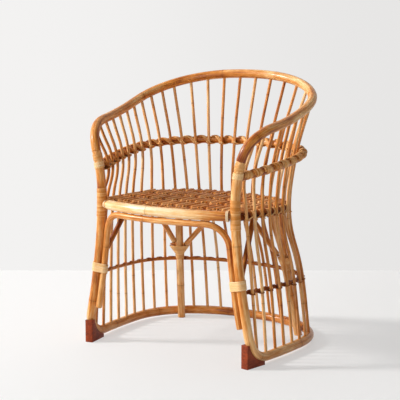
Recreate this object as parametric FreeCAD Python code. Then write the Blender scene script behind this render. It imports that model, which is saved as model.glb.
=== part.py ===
import FreeCAD, Part
import math
import os

# A rattan armchair in millimetres. The front faces -Y, +X is the right as seen from the front, and Z is up.
# The origin is on the floor, under the middle of the whole chair. Right means +X in every name.

Vector = FreeCAD.Vector
os.makedirs("parts", exist_ok=True)

# Overall sizes
overall_depth = 566.0
seat_height = 439.5

# Pole diameters
frame_diameter = 28.0
seat_rail_diameter = 29.0
seat_ring_diameter = 22.0
mid_hoop_diameter = 22.0
lower_hoop_diameter = 11.0
arch_diameter = 19.0
leg_diameter = 25.0
leg_brace_diameter = 17.0
side_brace_diameter = 16.0
spindle_diameter = 9.5
cane_diameter = 4.0
lashing_diameter = 3.0
dowel_diameter = 10.0

# Clearances
contact_gap = 0.3
crossing_gap = 0.8
socket_gap = 0.2
binding_gap = 0.4
turn_gap = 0.7
lashing_gap = 1.1

# Front posts: half spacing at three heights, with the waist just above the seat
post_y = -223.5
post_waist_half_spacing = 230.7
post_waist_height = 450.0
post_foot_half_spacing = 275.8
post_foot_height = 88.0
post_flare_power = 1.73
arm_joint_half_spacing = 248.7
arm_joint_height = 580.0

# Base hoop, which is one pole with the posts
base_height = 19.0
base_half_width = 300.0
base_widest_y = 30.0
base_corner_half_width = 289.0
base_corner_y = -148.0

# Top rail
rail_half_width = 303.0
rail_widest_y = 46.0
rail_back_y = 235.0
rail_corner_half_width = 293.0
rail_corner_y = -130.0
rail_front_height = 666.0
rail_back_height = 796.0
rail_sweep = 0.60

# Mid hoop, outside the spindles: its front ends drop below the arm joints, its back rises above them
mid_half_width = 287.0
mid_widest_y = 13.0
mid_back_y = 205.0
mid_front_drop = 47.0
mid_back_rise = 8.0

# Seat ring and front rail
ring_half_width = 250.5
ring_widest_y = -29.0
ring_back_y = 153.5
ring_drop = 4.0
ring_tilt = 5.3
seat_rail_bow_power = 2.2
seat_rail_setback = 4.0
weave_thickness = 4.5

# Lower hoop, inside the spindles
lower_half_width = 279.5
lower_widest_y = 8.0
lower_back_y = 221.5
lower_front_height = 210.0
lower_back_height = 197.5

# Roundness of the hoops' backs: 2 is an ellipse, more is squarer
hoop_squareness = 2.25

# Spindles on each half of the chair, and their spacing along each hoop from the back centre
spindles_per_side = 15
back_spindles = 5
base_pitch = 45.3
lower_pitch = 41.3
ring_pitch = 35.7
mid_back_pitch = 46.0
mid_side_pitch = 38.6
rail_back_pitch = 57.0
rail_side_pitch = 41.0
socket_depth = 9.0

# Front arch
arch_foot_height = 112.0
arch_bend_height = 335.0
arch_bend_half_width = 150.0
arch_rail_gap = 1.0

# Rear legs and their braces
leg_base_place = 250.0
leg_lower_place = 226.0
leg_ring_place = 188.0
leg_setback = 4.0
leg_joint_height = 224.0
back_brace_place = 14.0
fore_brace_place = 300.0

# Bearer under the woven seat, and the braces from the posts to it
bearer_diameter = 18.0
bearer_y = -92.0
post_brace_height = 248.0
post_brace_spread = 216.0

# Foot blocks
block_width = 23.0
block_height = 67.5
block_length = 76.0
block_nose = 3.5
block_bite = 3.0
screw_diameter = 4.0
screw_head_diameter = 8.0
screw_length = 26.0
screw_recess = 1.0
screw_place = 50.0

# Arm dowels
dowel_length = 44.0

# Cane bindings: turns, and the height of the first turn or its drop below the arm joint
arch_binding_turns = 6
arch_binding_height = 221.0
seat_binding_turns = 5
seat_binding_height = 446.0
rail_binding_turns = 4
rail_binding_drop = 27.0
leg_binding_turns = 3
leg_binding_height = 209.0

# Fineness of the worked-out curves: close points on a hoop's plan, and spans between a pole's stations
plan_step_count = 240
hoop_span_count = 7
post_span_count = 6
seat_rail_span_count = 3
arch_top_span_count = 2
arch_leg_span_count = 3
gap_sample_count = 8
slope_probe = 1.0
straight_limit = 1e-5
parallel_limit = 1e-9

frame_radius = frame_diameter / 2
seat_rail_radius = seat_rail_diameter / 2
ring_radius = seat_ring_diameter / 2
mid_radius = mid_hoop_diameter / 2
lower_radius = lower_hoop_diameter / 2
arch_radius = arch_diameter / 2
leg_radius = leg_diameter / 2
spindle_radius = spindle_diameter / 2
up = Vector(0, 0, 1)
across_chair = Vector(1, 0, 0)
base_back_y = overall_depth / 2 - frame_radius
seat_rail_front_y = seat_rail_radius - overall_depth / 2
seat_rail_height = seat_height - seat_rail_radius
mid_front_height = arm_joint_height - mid_front_drop
mid_back_height = arm_joint_height + mid_back_rise
rail_binding_height = arm_joint_height - rail_binding_drop


def unit(vector):
    """The vector at length one."""
    return vector / vector.Length


def mirrored(shape):
    """The shape on the other side of the chair."""
    return shape.mirror(Vector(0, 0, 0), Vector(1, 0, 0))


def flipped(vector):
    """A point or direction on the other side of the chair."""
    return Vector(-vector.x, vector.y, vector.z)


def arc_edge(start, tangent, end):
    """The arc, or straight line, that leaves start along tangent and reaches end."""
    chord = end - start
    along = unit(chord)
    side = tangent - along * tangent.dot(along)
    if side.Length < straight_limit:
        return Part.LineSegment(start, end).toShape()
    turn = math.atan2(side.Length, tangent.dot(along))
    middle = (start + end) / 2 + unit(side) * (chord.Length / 2 * math.tan(turn / 2))
    return Part.Arc(start, middle, end).toShape()


def biarc_edges(start, end):
    """Two tangent arcs between two stations, each a point and a direction."""
    (first, leaving), (last, arriving) = start, end
    span = last - first
    both = leaving + arriving
    spread = 2 * (1 - leaving.dot(arriving))
    reach = span.dot(both)
    if spread < parallel_limit:
        arm = span.dot(span) / (2 * reach)
    else:
        arm = (math.sqrt(reach * reach + spread * span.dot(span)) - reach) / spread
    meeting = (first + last + (leaving - arriving) * arm) / 2
    direction = unit((last - arriving * arm) - (first + leaving * arm))
    return [arc_edge(first, leaving, meeting), arc_edge(meeting, direction, last)]


def path_wire(stations):
    """One smooth wire of tangent arcs through the stations."""
    edges = []
    for start, end in zip(stations[:-1], stations[1:]):
        edges += biarc_edges(start, end)
    return Part.Wire(edges)


def tube(stations, diameter):
    """A round pole along the stations."""
    first, leaving = stations[0]
    profile = Part.Wire(Part.Circle(first, leaving, diameter / 2).toShape())
    return path_wire(stations).makePipeShell([profile], True, False)


def rod(start, direction, length, diameter):
    """A straight round rod."""
    return Part.makeCylinder(diameter / 2, length, start, direction)


def smooth_stations(points, first=None, last=None):
    """Stations through the points, each heading along the circle through its neighbours."""
    runs = [end - start for start, end in zip(points[:-1], points[1:])]
    headings = []
    for before, after in zip(runs[:-1], runs[1:]):
        headings.append(unit(unit(before) * after.Length + unit(after) * before.Length))
    along_first = unit(runs[0])
    along_last = unit(runs[-1])
    first = first or along_first * (2 * along_first.dot(headings[0])) - headings[0]
    last = last or along_last * (2 * along_last.dot(headings[-1])) - headings[-1]
    return list(zip(points, [unit(first)] + headings + [unit(last)]))


def largest_solid(shape):
    """The main piece of a cut shape."""
    return max(shape.Solids, key=lambda solid: solid.Volume)


class Hoop:
    """One level of the basket: a squared half ellipse behind its widest place, drawn-in sides before it."""

    def __init__(self, half_width, widest_y, back_y, corner, front_height, back_height, sweep=0.0):
        self.half_width = half_width
        self.widest_y = widest_y
        self.back_y = back_y
        self.corner_half_width, self.corner_y = corner
        self.front_height = front_height
        self.back_height = back_height
        self.sweep = sweep
        self.points = self.outline()
        self.distances = [0.0]
        for start, end in zip(self.points[:-1], self.points[1:]):
            step = math.hypot(end.x - start.x, end.y - start.y)
            self.distances.append(self.distances[-1] + step)
        self.length = self.distances[-1]

    def height(self, y):
        """Centre height at a depth."""
        share = (y - self.corner_y) / (self.back_y - self.corner_y)
        rise = self.back_height - self.front_height
        return self.front_height + rise * ((1 - self.sweep) * share + self.sweep * share * share)

    def outline(self):
        """Close points on the right half, from the back centre to the front end."""
        plan = []
        for step in range(plan_step_count + 1):
            angle = math.pi / 2 * (1 - step / plan_step_count)
            across = abs(math.cos(angle)) ** (2 / hoop_squareness)
            deep = math.sin(angle) ** (2 / hoop_squareness)
            plan.append((self.half_width * across, self.widest_y + (self.back_y - self.widest_y) * deep))
        for step in range(1, plan_step_count + 1):
            share = step / plan_step_count
            drawn_in = (self.half_width - self.corner_half_width) * share * share
            plan.append((self.half_width - drawn_in, self.widest_y + (self.corner_y - self.widest_y) * share))
        return [Vector(x, y, self.height(y)) for x, y in plan]

    def place(self, distance):
        """The centre point at a distance from the back centre, on the right half."""
        distance = min(max(distance, 0.0), self.length)
        index = 1
        while self.distances[index] < distance:
            index += 1
        span = self.distances[index] - self.distances[index - 1]
        share = (distance - self.distances[index - 1]) / span
        return self.points[index - 1] + (self.points[index] - self.points[index - 1]) * share

    def heading(self, distance):
        """The direction of the pole, towards the front, at a distance from the back centre."""
        reach = self.length / plan_step_count
        if distance < reach:
            ahead = self.place(reach)
            return unit(Vector(ahead.x, (ahead.y - self.points[0].y) * distance / reach, 0))
        ahead = min(distance + reach, self.length)
        return unit(self.place(ahead) - self.place(ahead - 2 * reach))

    def outward(self, distance):
        """The level direction away from the chair's middle."""
        heading = self.heading(distance)
        return unit(Vector(-heading.y, heading.x, 0))

    def right_stations(self):
        """Stations on the right half, from the back centre to the front end."""
        places = [self.length * step / hoop_span_count for step in range(hoop_span_count + 1)]
        return [(self.place(place), self.heading(place)) for place in places]


def whole_stations(right_half):
    """Stations over both halves, from right to left, from those on the right half."""
    right = [(point, heading * -1) for point, heading in reversed(right_half)]
    left = [(flipped(point), flipped(heading)) for point, heading in right_half[1:]]
    return right + left


def post_centre(height):
    """Centre of the right post at a height."""
    rise = height - post_waist_height
    if rise > 0:
        share = rise / (arm_joint_height - post_waist_height)
        flare = (arm_joint_half_spacing - post_waist_half_spacing) * share * share
    else:
        share = -rise / (post_waist_height - post_foot_height)
        flare = (post_foot_half_spacing - post_waist_half_spacing) * share ** post_flare_power
    return Vector(post_waist_half_spacing + flare, post_y, height)


def post_heading(height):
    """Upward direction of the right post at a height."""
    return unit(post_centre(height + slope_probe) - post_centre(height - slope_probe))


def post_stations(low, high, spans):
    """Stations up the right post."""
    heights = [low + (high - low) * step / spans for step in range(spans + 1)]
    return [(post_centre(height), post_heading(height)) for height in heights]


base_hoop = Hoop(base_half_width, base_widest_y, base_back_y, (base_corner_half_width, base_corner_y),
                 base_height, base_height)
rail_hoop = Hoop(rail_half_width, rail_widest_y, rail_back_y, (rail_corner_half_width, rail_corner_y),
                 rail_front_height, rail_back_height, rail_sweep)
mid_hoop = Hoop(mid_half_width, mid_widest_y, mid_back_y, (post_centre(mid_front_height).x, post_y),
                mid_front_height, mid_back_height)
ring_height = seat_rail_height - ring_drop
ring_hoop = Hoop(ring_half_width, ring_widest_y, ring_back_y, (post_centre(ring_height).x, post_y),
                 ring_height, ring_height - ring_tilt)
lower_hoop = Hoop(lower_half_width, lower_widest_y, lower_back_y,
                  (post_centre(lower_front_height).x, post_y), lower_front_height, lower_back_height)


# Centre lines of the right half of the frame pole and of the top rail, each from the back centre
corner_stations = base_hoop.right_stations()
post_path = post_stations(post_foot_height, arm_joint_height, post_span_count)
frame_half = corner_stations + post_path
joint_point, joint_heading = post_path[-1]
rail_half = rail_hoop.right_stations() + [(joint_point, joint_heading * -1)]


def path_station(stations, distance):
    """The point of a path at a distance from its start, and the path's direction there."""
    for start, end in zip(stations[:-1], stations[1:]):
        for edge in biarc_edges(start, end):
            if distance <= edge.Length:
                place = edge.getParameterByLength(distance)
                return edge.valueAt(place), edge.tangentAt(place)
            distance -= edge.Length
    return stations[-1]


def even_place(number, pitch):
    """Distance from the back centre of a spindle, counted from one: the first stands half a pitch away."""
    return pitch * (number - 1) + pitch / 2


def zoned_place(number, back_pitch, side_pitch):
    """The same distance where the sides have a pitch of their own."""
    behind = min(number, back_spindles)
    return even_place(behind, back_pitch) + side_pitch * (number - behind)


def entry_distance(heading, pole_heading):
    """Distance along a spindle's heading from the centre of a frame pole to its surface."""
    return frame_radius / heading.cross(pole_heading).Length


def beside(hoop, place, distance):
    """A point level with a hoop and outside it, or inside it where distance is negative."""
    return hoop.place(place) + hoop.outward(place) * distance


def spindle_stations(number):
    """Stations of a right-hand spindle, from its socket in the base to its socket in the top rail."""
    foot, foot_pole = path_station(frame_half, even_place(number, base_pitch))
    lower = beside(lower_hoop, even_place(number, lower_pitch), lower_radius + spindle_radius + crossing_gap)
    seat = beside(ring_hoop, even_place(number, ring_pitch), ring_radius + spindle_radius + crossing_gap)
    middle = beside(mid_hoop, zoned_place(number, mid_back_pitch, mid_side_pitch),
                    -mid_radius - spindle_radius - crossing_gap)
    head, head_pole = path_station(rail_half, zoned_place(number, rail_back_pitch, rail_side_pitch))
    rising = unit(lower - foot)
    leaving = unit(head - middle)
    foot_entry = entry_distance(rising, foot_pole)
    head_entry = entry_distance(leaving, head_pole)
    inner = smooth_stations([foot + rising * foot_entry, lower, seat, middle, head - leaving * head_entry],
                            rising, leaving)
    bottom = (foot + rising * (foot_entry - socket_depth), rising)
    top = (head - leaving * (head_entry - socket_depth), leaving)
    return [bottom] + inner + [top]


spindle_paths = [spindle_stations(number) for number in range(1, spindles_per_side + 1)]


def socket_cutters(end):
    """Bores for every right-hand spindle at one end of it: 0 is the base and -1 the top rail."""
    cutters = []
    for stations in spindle_paths:
        point, heading = stations[end]
        outward = heading if end == 0 else heading * -1
        bore = spindle_diameter + 2 * socket_gap
        cutters.append(rod(point - outward * socket_gap, outward, 2 * socket_depth, bore))
    return cutters


def both_sides(shapes):
    """The shapes and their mirror images."""
    return shapes + [mirrored(shape) for shape in shapes]


# Frame pole and top rail: one loop, cut at the arm joints
dowel_start = joint_point - joint_heading * (dowel_length / 2)
arm_dowel = rod(dowel_start, joint_heading, dowel_length, dowel_diameter)
dowel_bore = rod(dowel_start - joint_heading * socket_gap, joint_heading, dowel_length + 2 * socket_gap,
                 dowel_diameter + 2 * socket_gap)

top_rail = tube(whole_stations(rail_half), frame_diameter)
top_rail = top_rail.cut(both_sides(socket_cutters(-1) + [dowel_bore]))

frame_blank = tube(whole_stations(frame_half), frame_diameter)

# Foot blocks: sawn wedges under the front bends, each held by a screw from below
bend_end = corner_stations[-1][0]
bend_start = post_path[0][0]
block_forward = unit(Vector(bend_start.x - bend_end.x, bend_start.y - bend_end.y, 0))
block_side = Vector(-block_forward.y, block_forward.x, 0)
bend_radius = bend_start.z - bend_end.z
block_face = math.hypot(bend_start.x - bend_end.x, bend_start.y - bend_end.y) + frame_radius + block_nose


def block_point(forward, height):
    """A point of the block's outline, ahead of the end of the bend and above the floor."""
    return Vector(bend_end.x, bend_end.y, height) + block_forward * forward - block_side * (block_width / 2)


def saw_point(forward):
    """A point on the block's sawn hollow, a little inside the pole."""
    hollow = bend_radius + frame_radius - block_bite
    return block_point(forward, bend_start.z - math.sqrt(hollow * hollow - forward * forward))


def foot_block():
    """The right-hand block without its screw hole."""
    hollow = bend_radius + frame_radius - block_bite
    top_forward = math.sqrt(hollow * hollow - (bend_start.z - block_height) ** 2)
    tail_forward = block_face - block_length
    tail = saw_point(tail_forward)
    top = block_point(top_forward, block_height)
    corners = [top, block_point(block_face, block_height), block_point(block_face, 0),
               block_point(tail_forward, 0), tail]
    edges = [Part.LineSegment(start, end).toShape() for start, end in zip(corners[:-1], corners[1:])]
    edges.append(Part.Arc(tail, saw_point((top_forward + tail_forward) / 2), top).toShape())
    return Part.Face(Part.Wire(edges)).extrude(block_side * block_width)


screw_axis = block_point(screw_place, 0) + block_side * (block_width / 2)
head_height = (screw_head_diameter - screw_diameter) / 2


def screw(gap):
    """The right-hand foot screw, or its hole where gap is more than nothing."""
    base = screw_axis + up * screw_recess
    head = Part.makeCone(screw_head_diameter / 2 + gap, screw_diameter / 2 + gap, head_height, base, up)
    shank = rod(base + up * head_height, up, screw_length - head_height + gap, screw_diameter + 2 * gap)
    return head.fuse(shank)


screw_hole = screw(socket_gap)
screw_mouth = rod(screw_axis, up, screw_recess, screw_head_diameter + 2 * socket_gap)
frame_clearance = tube(frame_half[hoop_span_count - 1:], frame_diameter + 2 * contact_gap)
block_right = largest_solid(foot_block().cut([frame_clearance, screw_hole, screw_mouth]))

frame_pole = frame_blank.cut(both_sides(socket_cutters(0) + [dowel_bore, screw_hole]))

# Hoops and rails that end against the posts
post_clearance = tube(post_path, frame_diameter + 2 * contact_gap)
post_clearances = both_sides([post_clearance])


def coped_hoop(hoop, diameter):
    """A hoop whose ends are hollowed to sit against the posts, which are straight over so short a reach."""
    rising = post_heading(hoop.front_height)
    start = post_centre(hoop.front_height) - rising * frame_diameter
    hollow = rod(start, rising, 2 * frame_diameter, frame_diameter + 2 * contact_gap)
    return largest_solid(tube(whole_stations(hoop.right_stations()), diameter).cut(both_sides([hollow])))


mid_pole = coped_hoop(mid_hoop, mid_hoop_diameter)
lower_pole = coped_hoop(lower_hoop, lower_hoop_diameter)
ring_pole = coped_hoop(ring_hoop, seat_ring_diameter)

seat_rail_half_width = post_centre(seat_rail_height).x
seat_rail_sag = post_y - seat_rail_front_y


def seat_rail_centre(x, height):
    """Centre of the bowed front rail at a place across the chair."""
    share = abs(x) / seat_rail_half_width
    return Vector(x, seat_rail_front_y + seat_rail_sag * share ** seat_rail_bow_power, height)


def seat_rail_stations(reach, height, spans):
    """Stations on the right half of the bow, from the middle outwards."""
    stations = []
    for step in range(spans + 1):
        x = reach * step / spans
        slope = seat_rail_sag * seat_rail_bow_power / seat_rail_half_width
        slope *= (x / seat_rail_half_width) ** (seat_rail_bow_power - 1)
        stations.append((seat_rail_centre(x, height), unit(Vector(1, slope, 0))))
    return stations


seat_rail_reach = seat_rail_half_width - seat_rail_setback
seat_rail_path = whole_stations(seat_rail_stations(seat_rail_reach, seat_rail_height, seat_rail_span_count))
seat_rail = largest_solid(tube(seat_rail_path, seat_rail_diameter).cut(post_clearances))

# Woven seat: a thin panel on the ring, let in behind the front rail
weave_lift = ring_radius + contact_gap


def on_weave(station):
    """The station brought to the underside of the woven panel."""
    point, heading = station
    slope = (ring_hoop.height(slope_probe) - ring_hoop.height(0)) / slope_probe
    level = Vector(point.x, point.y, ring_hoop.height(point.y) + weave_lift)
    return level, unit(Vector(heading.x, heading.y, heading.y * slope))


weave_back = [on_weave(station) for station in whole_stations(ring_hoop.right_stations())]
weave_front = [on_weave(station) for station in seat_rail_path]
weave_front = [(point, heading * -1) for point, heading in reversed(weave_front)]
weave_edges = path_wire(weave_back).Edges + path_wire(weave_front).Edges
weave_edges.append(Part.LineSegment(weave_back[-1][0], weave_front[0][0]).toShape())
weave_edges.append(Part.LineSegment(weave_front[-1][0], weave_back[0][0]).toShape())
weave_panel = Part.Face(Part.Wire(Part.__sortEdges__(weave_edges))).extrude(up * weave_thickness)
seat_rail_clearance = tube(seat_rail_path, seat_rail_diameter + 2 * contact_gap)
woven_seat = largest_solid(weave_panel.cut(post_clearances + [seat_rail_clearance]))

# Front arch, beside the posts and under the front rail
arch_offset = frame_radius + arch_radius + contact_gap


def arch_leg_station(height):
    """A station on the arch's right leg, level with a height on the post."""
    heading = post_heading(height)
    inward = Vector(-heading.z, 0, heading.x)
    return post_centre(height) + inward * arch_offset, heading * -1


arch_top_height = seat_rail_height - seat_rail_radius - arch_radius - arch_rail_gap
arch_leg_step = (arch_bend_height - arch_foot_height) / arch_leg_span_count
arch_half = seat_rail_stations(arch_bend_half_width, arch_top_height, arch_top_span_count)
for step in range(arch_leg_span_count + 1):
    arch_half.append(arch_leg_station(arch_bend_height - arch_leg_step * step))
front_arch = tube(whole_stations(arch_half), arch_diameter)

# Rear legs and braces
ring_stations = whole_stations(ring_hoop.right_stations())
ring_clearance = tube(ring_stations, seat_ring_diameter + 2 * contact_gap)
ring_back_stations = ring_stations[hoop_span_count - 3:hoop_span_count + 4]
ring_back_clearance = tube(ring_back_stations, seat_ring_diameter + 2 * contact_gap)


lashing_reach = lower_radius * math.sqrt(2) + lashing_gap + lashing_diameter + 2 * crossing_gap
leg_knee = beside(base_hoop, leg_base_place, -frame_radius - leg_radius - crossing_gap)
leg_waist = beside(lower_hoop, leg_lower_place, -lashing_reach - leg_radius)
leg_top = beside(ring_hoop, leg_ring_place, -leg_radius) - up * leg_setback
leg_path = smooth_stations([leg_knee, leg_waist, leg_top])
leg_foot_heading = leg_path[0][1]
leg_foot = leg_knee - leg_foot_heading * (2 * base_height)
leg_path = [(leg_foot, leg_foot_heading)] + leg_path
floor_cut = Part.makeBox(overall_depth, overall_depth, overall_depth,
                         Vector(0, -overall_depth / 2, -overall_depth))
rear_leg = largest_solid(tube(leg_path, leg_diameter).cut([ring_clearance, floor_cut]))
leg_clearance = tube(leg_path, leg_diameter + 2 * contact_gap)

leg_points = path_wire(leg_path).discretize(plan_step_count)


def leg_place(height):
    """The first point of the leg's centre line above a height."""
    return next(point for point in leg_points if point.z > height)


leg_joint = leg_place(leg_joint_height)


def straight_brace(start, end, diameter, ends):
    """A straight pole between two points, hollowed where it meets the poles at its ends."""
    direction = end - start
    return largest_solid(rod(start, unit(direction), direction.Length, diameter).cut(ends))


back_brace = straight_brace(leg_joint, ring_hoop.place(back_brace_place), leg_brace_diameter,
                            [leg_clearance, ring_back_clearance])
fore_brace = straight_brace(leg_joint, ring_hoop.place(fore_brace_place), leg_brace_diameter,
                            [leg_clearance, ring_clearance])
bearer_height = ring_hoop.height(bearer_y) + ring_radius - bearer_diameter / 2
bearer_end = Vector(ring_half_width, bearer_y, bearer_height)
seat_bearer = straight_brace(flipped(bearer_end), bearer_end, bearer_diameter, [ring_clearance])
bearer_clearance = rod(flipped(bearer_end), across_chair, 2 * ring_half_width,
                       bearer_diameter + 2 * contact_gap)
post_brace_end = Vector(post_brace_spread, bearer_y, bearer_height)
post_brace = straight_brace(post_centre(post_brace_height), post_brace_end, side_brace_diameter,
                            [post_clearance, bearer_clearance])


def arc_length(start, end):
    """Length of the tangent arcs between two stations."""
    return sum(edge.Length for edge in biarc_edges(start, end))


def belt_stations(origin, axis, across, radii, spacing, turns, pitch):
    """Stations of cane wound round two poles, or round one where spacing is nothing.

    origin is the first pole's centre at the first turn, axis the way that the turns climb, across the
    direction of the second pole, and radii the cane's distance from the two centres.
    """
    across = unit(across - axis * across.dot(axis))
    side = axis.cross(across)
    lean = math.acos((radii[0] - radii[1]) / spacing) if spacing else math.pi / 2
    corners = []
    for angle in (lean, math.pi, 2 * math.pi - lean):
        corners.append((0.0, radii[0], angle))
    for angle in (2 * math.pi - lean, 2 * math.pi, 2 * math.pi + lean):
        corners.append((spacing, radii[1], angle))
    if not spacing:
        corners = [(0.0, radii[0], math.pi / 2 * quarter) for quarter in range(1, 5)]
    flat = []
    for turn in range(turns):
        for offset, radius, angle in corners:
            spoke = across * math.cos(angle) + side * math.sin(angle)
            heading = side * math.cos(angle) - across * math.sin(angle)
            flat.append((origin + across * offset + spoke * radius, heading))
    stations = []
    climbed = 0.0
    lap = math.pi * (radii[0] + radii[1]) + 2 * spacing
    for index, (point, heading) in enumerate(flat):
        if index:
            climbed += arc_length(flat[index - 1], flat[index])
        stations.append((point + axis * (pitch * climbed / lap), unit(heading + axis * (pitch / lap))))
    return stations


def least_gap(stations, diameter, per_turn):
    """Smallest space between one turn of a winding and the next, measured on points along it."""
    edges = path_wire(stations).Edges
    points = []
    for edge in edges:
        points += edge.discretize(gap_sample_count)[:-1]
    apart = len(points) // max(len(stations) // per_turn, 1) // 2
    gaps = [points[first].distanceToPoint(points[second]) for first in range(len(points))
            for second in range(first + apart, len(points))]
    return min(gaps) - diameter


def winding(name, stations, diameter, per_turn):
    """A cane winding as one tube, with its least gap to itself printed."""
    print(name, "least gap to itself", round(least_gap(stations, diameter, per_turn), 2))
    return tube(stations, diameter)


cane_radius = cane_diameter / 2
cane_pitch = cane_diameter + turn_gap
post_reach = frame_radius + binding_gap + cane_radius
arch_reach = arch_radius + binding_gap + cane_radius


def post_winding(name, height, turns):
    """A binding round the right post."""
    stations = belt_stations(post_centre(height), post_heading(height + turns * cane_pitch / 2), across_chair,
                             (post_reach, post_reach), 0.0, turns, cane_pitch)
    return winding(name, stations, cane_diameter, 4)


band_heading = post_heading(arch_binding_height + arch_binding_turns * cane_pitch / 2)
band_inward = Vector(-band_heading.z, 0, band_heading.x)
arch_band = belt_stations(post_centre(arch_binding_height), band_heading, band_inward,
                          (post_reach, arch_reach), arch_offset, arch_binding_turns, cane_pitch)
arch_binding = winding("arch_binding", arch_band, cane_diameter, 6)
seat_binding = post_winding("seat_binding", seat_binding_height, seat_binding_turns)
rail_binding = post_winding("rail_binding", rail_binding_height, rail_binding_turns)
leg_reach = leg_radius + binding_gap + cane_radius
leg_band_start = leg_place(leg_binding_height)
leg_band_axis = unit(leg_place(leg_binding_height + leg_binding_turns * cane_pitch) - leg_band_start)
leg_band = belt_stations(leg_band_start, leg_band_axis, across_chair, (leg_reach, leg_reach), 0.0,
                         leg_binding_turns, cane_pitch)
leg_binding = winding("leg_binding", leg_band, cane_diameter, 4)


def lashing(hoop, place, hoop_radius, spindle_station):
    """One slanting tie of cane round a hoop and the spindle that crosses it, open on one side."""
    crossing, rising = spindle_station
    along = hoop.heading(place)
    axis = unit(along - rising)
    offset = crossing - hoop.place(place)
    offset -= rising * (offset.dot(axis) / rising.dot(axis))
    slack = lashing_gap + lashing_diameter / 2
    radii = (hoop_radius / abs(axis.dot(along)) + slack, spindle_radius / abs(axis.dot(rising)) + slack)
    stations = belt_stations(hoop.place(place), axis, offset, radii, offset.Length, 1, 0.0)
    return tube(stations, lashing_diameter)


lashings = []
for number, stations in enumerate(spindle_paths, 1):
    _, _, lower_station, _, mid_station, *_ = stations
    mid_place = zoned_place(number, mid_back_pitch, mid_side_pitch)
    lower_place = even_place(number, lower_pitch)
    lashings.append(lashing(mid_hoop, mid_place, mid_radius, mid_station))
    lashings.append(lashing(lower_hoop, lower_place, lower_radius, lower_station))

nodes = {
    "top_rail": largest_solid(top_rail),
    "frame_pole": largest_solid(frame_pole),
    "mid_hoop": mid_pole,
    "lower_hoop": lower_pole,
    "seat_ring": ring_pole,
    "seat_front_rail": seat_rail,
    "woven_seat": woven_seat,
    "seat_bearer": seat_bearer,
    "front_arch": front_arch,
    "arm_dowels": Part.makeCompound(both_sides([arm_dowel])),
    "foot_screws": Part.makeCompound(both_sides([screw(0.0).Solids[0]])),
    "hoop_lashings": Part.makeCompound(both_sides(lashings)),
}
pairs = {
    "rear_leg": rear_leg,
    "back_brace": back_brace,
    "fore_brace": fore_brace,
    "post_brace": post_brace,
    "foot_block": block_right,
    "arch_binding": arch_binding,
    "seat_binding": seat_binding,
    "rail_binding": rail_binding,
    "leg_binding": leg_binding,
}
for number, stations in enumerate(spindle_paths, 1):
    pairs[f"spindle_{number:02d}"] = tube(stations, spindle_diameter)
for name, shape in pairs.items():
    nodes[f"{name}_right"] = shape
    nodes[f"{name}_left"] = mirrored(shape)

for name, shape in nodes.items():
    shape.exportStep(f"parts/{name}.step")
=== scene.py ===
import logging
import math
from dataclasses import astuple, dataclass, field, replace
from enum import Enum
from typing import Sequence, Union

import bpy
import numpy as np
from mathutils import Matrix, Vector


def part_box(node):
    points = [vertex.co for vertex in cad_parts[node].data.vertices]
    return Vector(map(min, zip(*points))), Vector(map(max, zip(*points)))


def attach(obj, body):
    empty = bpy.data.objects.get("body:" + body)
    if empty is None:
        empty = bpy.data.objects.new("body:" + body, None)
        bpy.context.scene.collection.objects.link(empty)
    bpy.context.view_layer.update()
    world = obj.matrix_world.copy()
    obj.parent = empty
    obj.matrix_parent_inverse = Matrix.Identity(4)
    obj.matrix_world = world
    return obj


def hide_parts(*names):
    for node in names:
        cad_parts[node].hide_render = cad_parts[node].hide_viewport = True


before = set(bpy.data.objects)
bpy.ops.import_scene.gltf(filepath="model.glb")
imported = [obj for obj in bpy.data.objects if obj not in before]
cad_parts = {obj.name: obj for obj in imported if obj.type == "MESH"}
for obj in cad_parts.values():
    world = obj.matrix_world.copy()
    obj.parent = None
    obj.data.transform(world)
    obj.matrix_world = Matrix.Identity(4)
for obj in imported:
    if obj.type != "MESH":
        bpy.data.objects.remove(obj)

Array = np.ndarray
Material = bpy.types.Material
Piece = bpy.types.Object
Point = tuple[float, float, float]

LOG = logging.getLogger("rattan_armchair")
BODY = "root"
UP = np.array((0.0, 0.0, 1.0))
# Metres of grain that pieces take their stretches from, and to a growth ring where there is none.
GRAIN_LENGTH = 40.0
NO_RING = 0.05


class Slot(Enum):
    """Material slots of the record."""

    POLE = "rattan_pole"
    SPINDLE = "rattan_spindle"
    HOOP = "rattan_hoop"
    CANE = "cane_binding"
    SEAT = "woven_seat"
    FOOT = "hardwood_foot"


class Side(Enum):
    """The chair's two halves, with the sign of X on each."""

    RIGHT = 1
    LEFT = -1

    @property
    def tail(self) -> str:
        """The ending of this side's node names."""
        return "_" + self.name.lower()


# Shader maths


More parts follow.
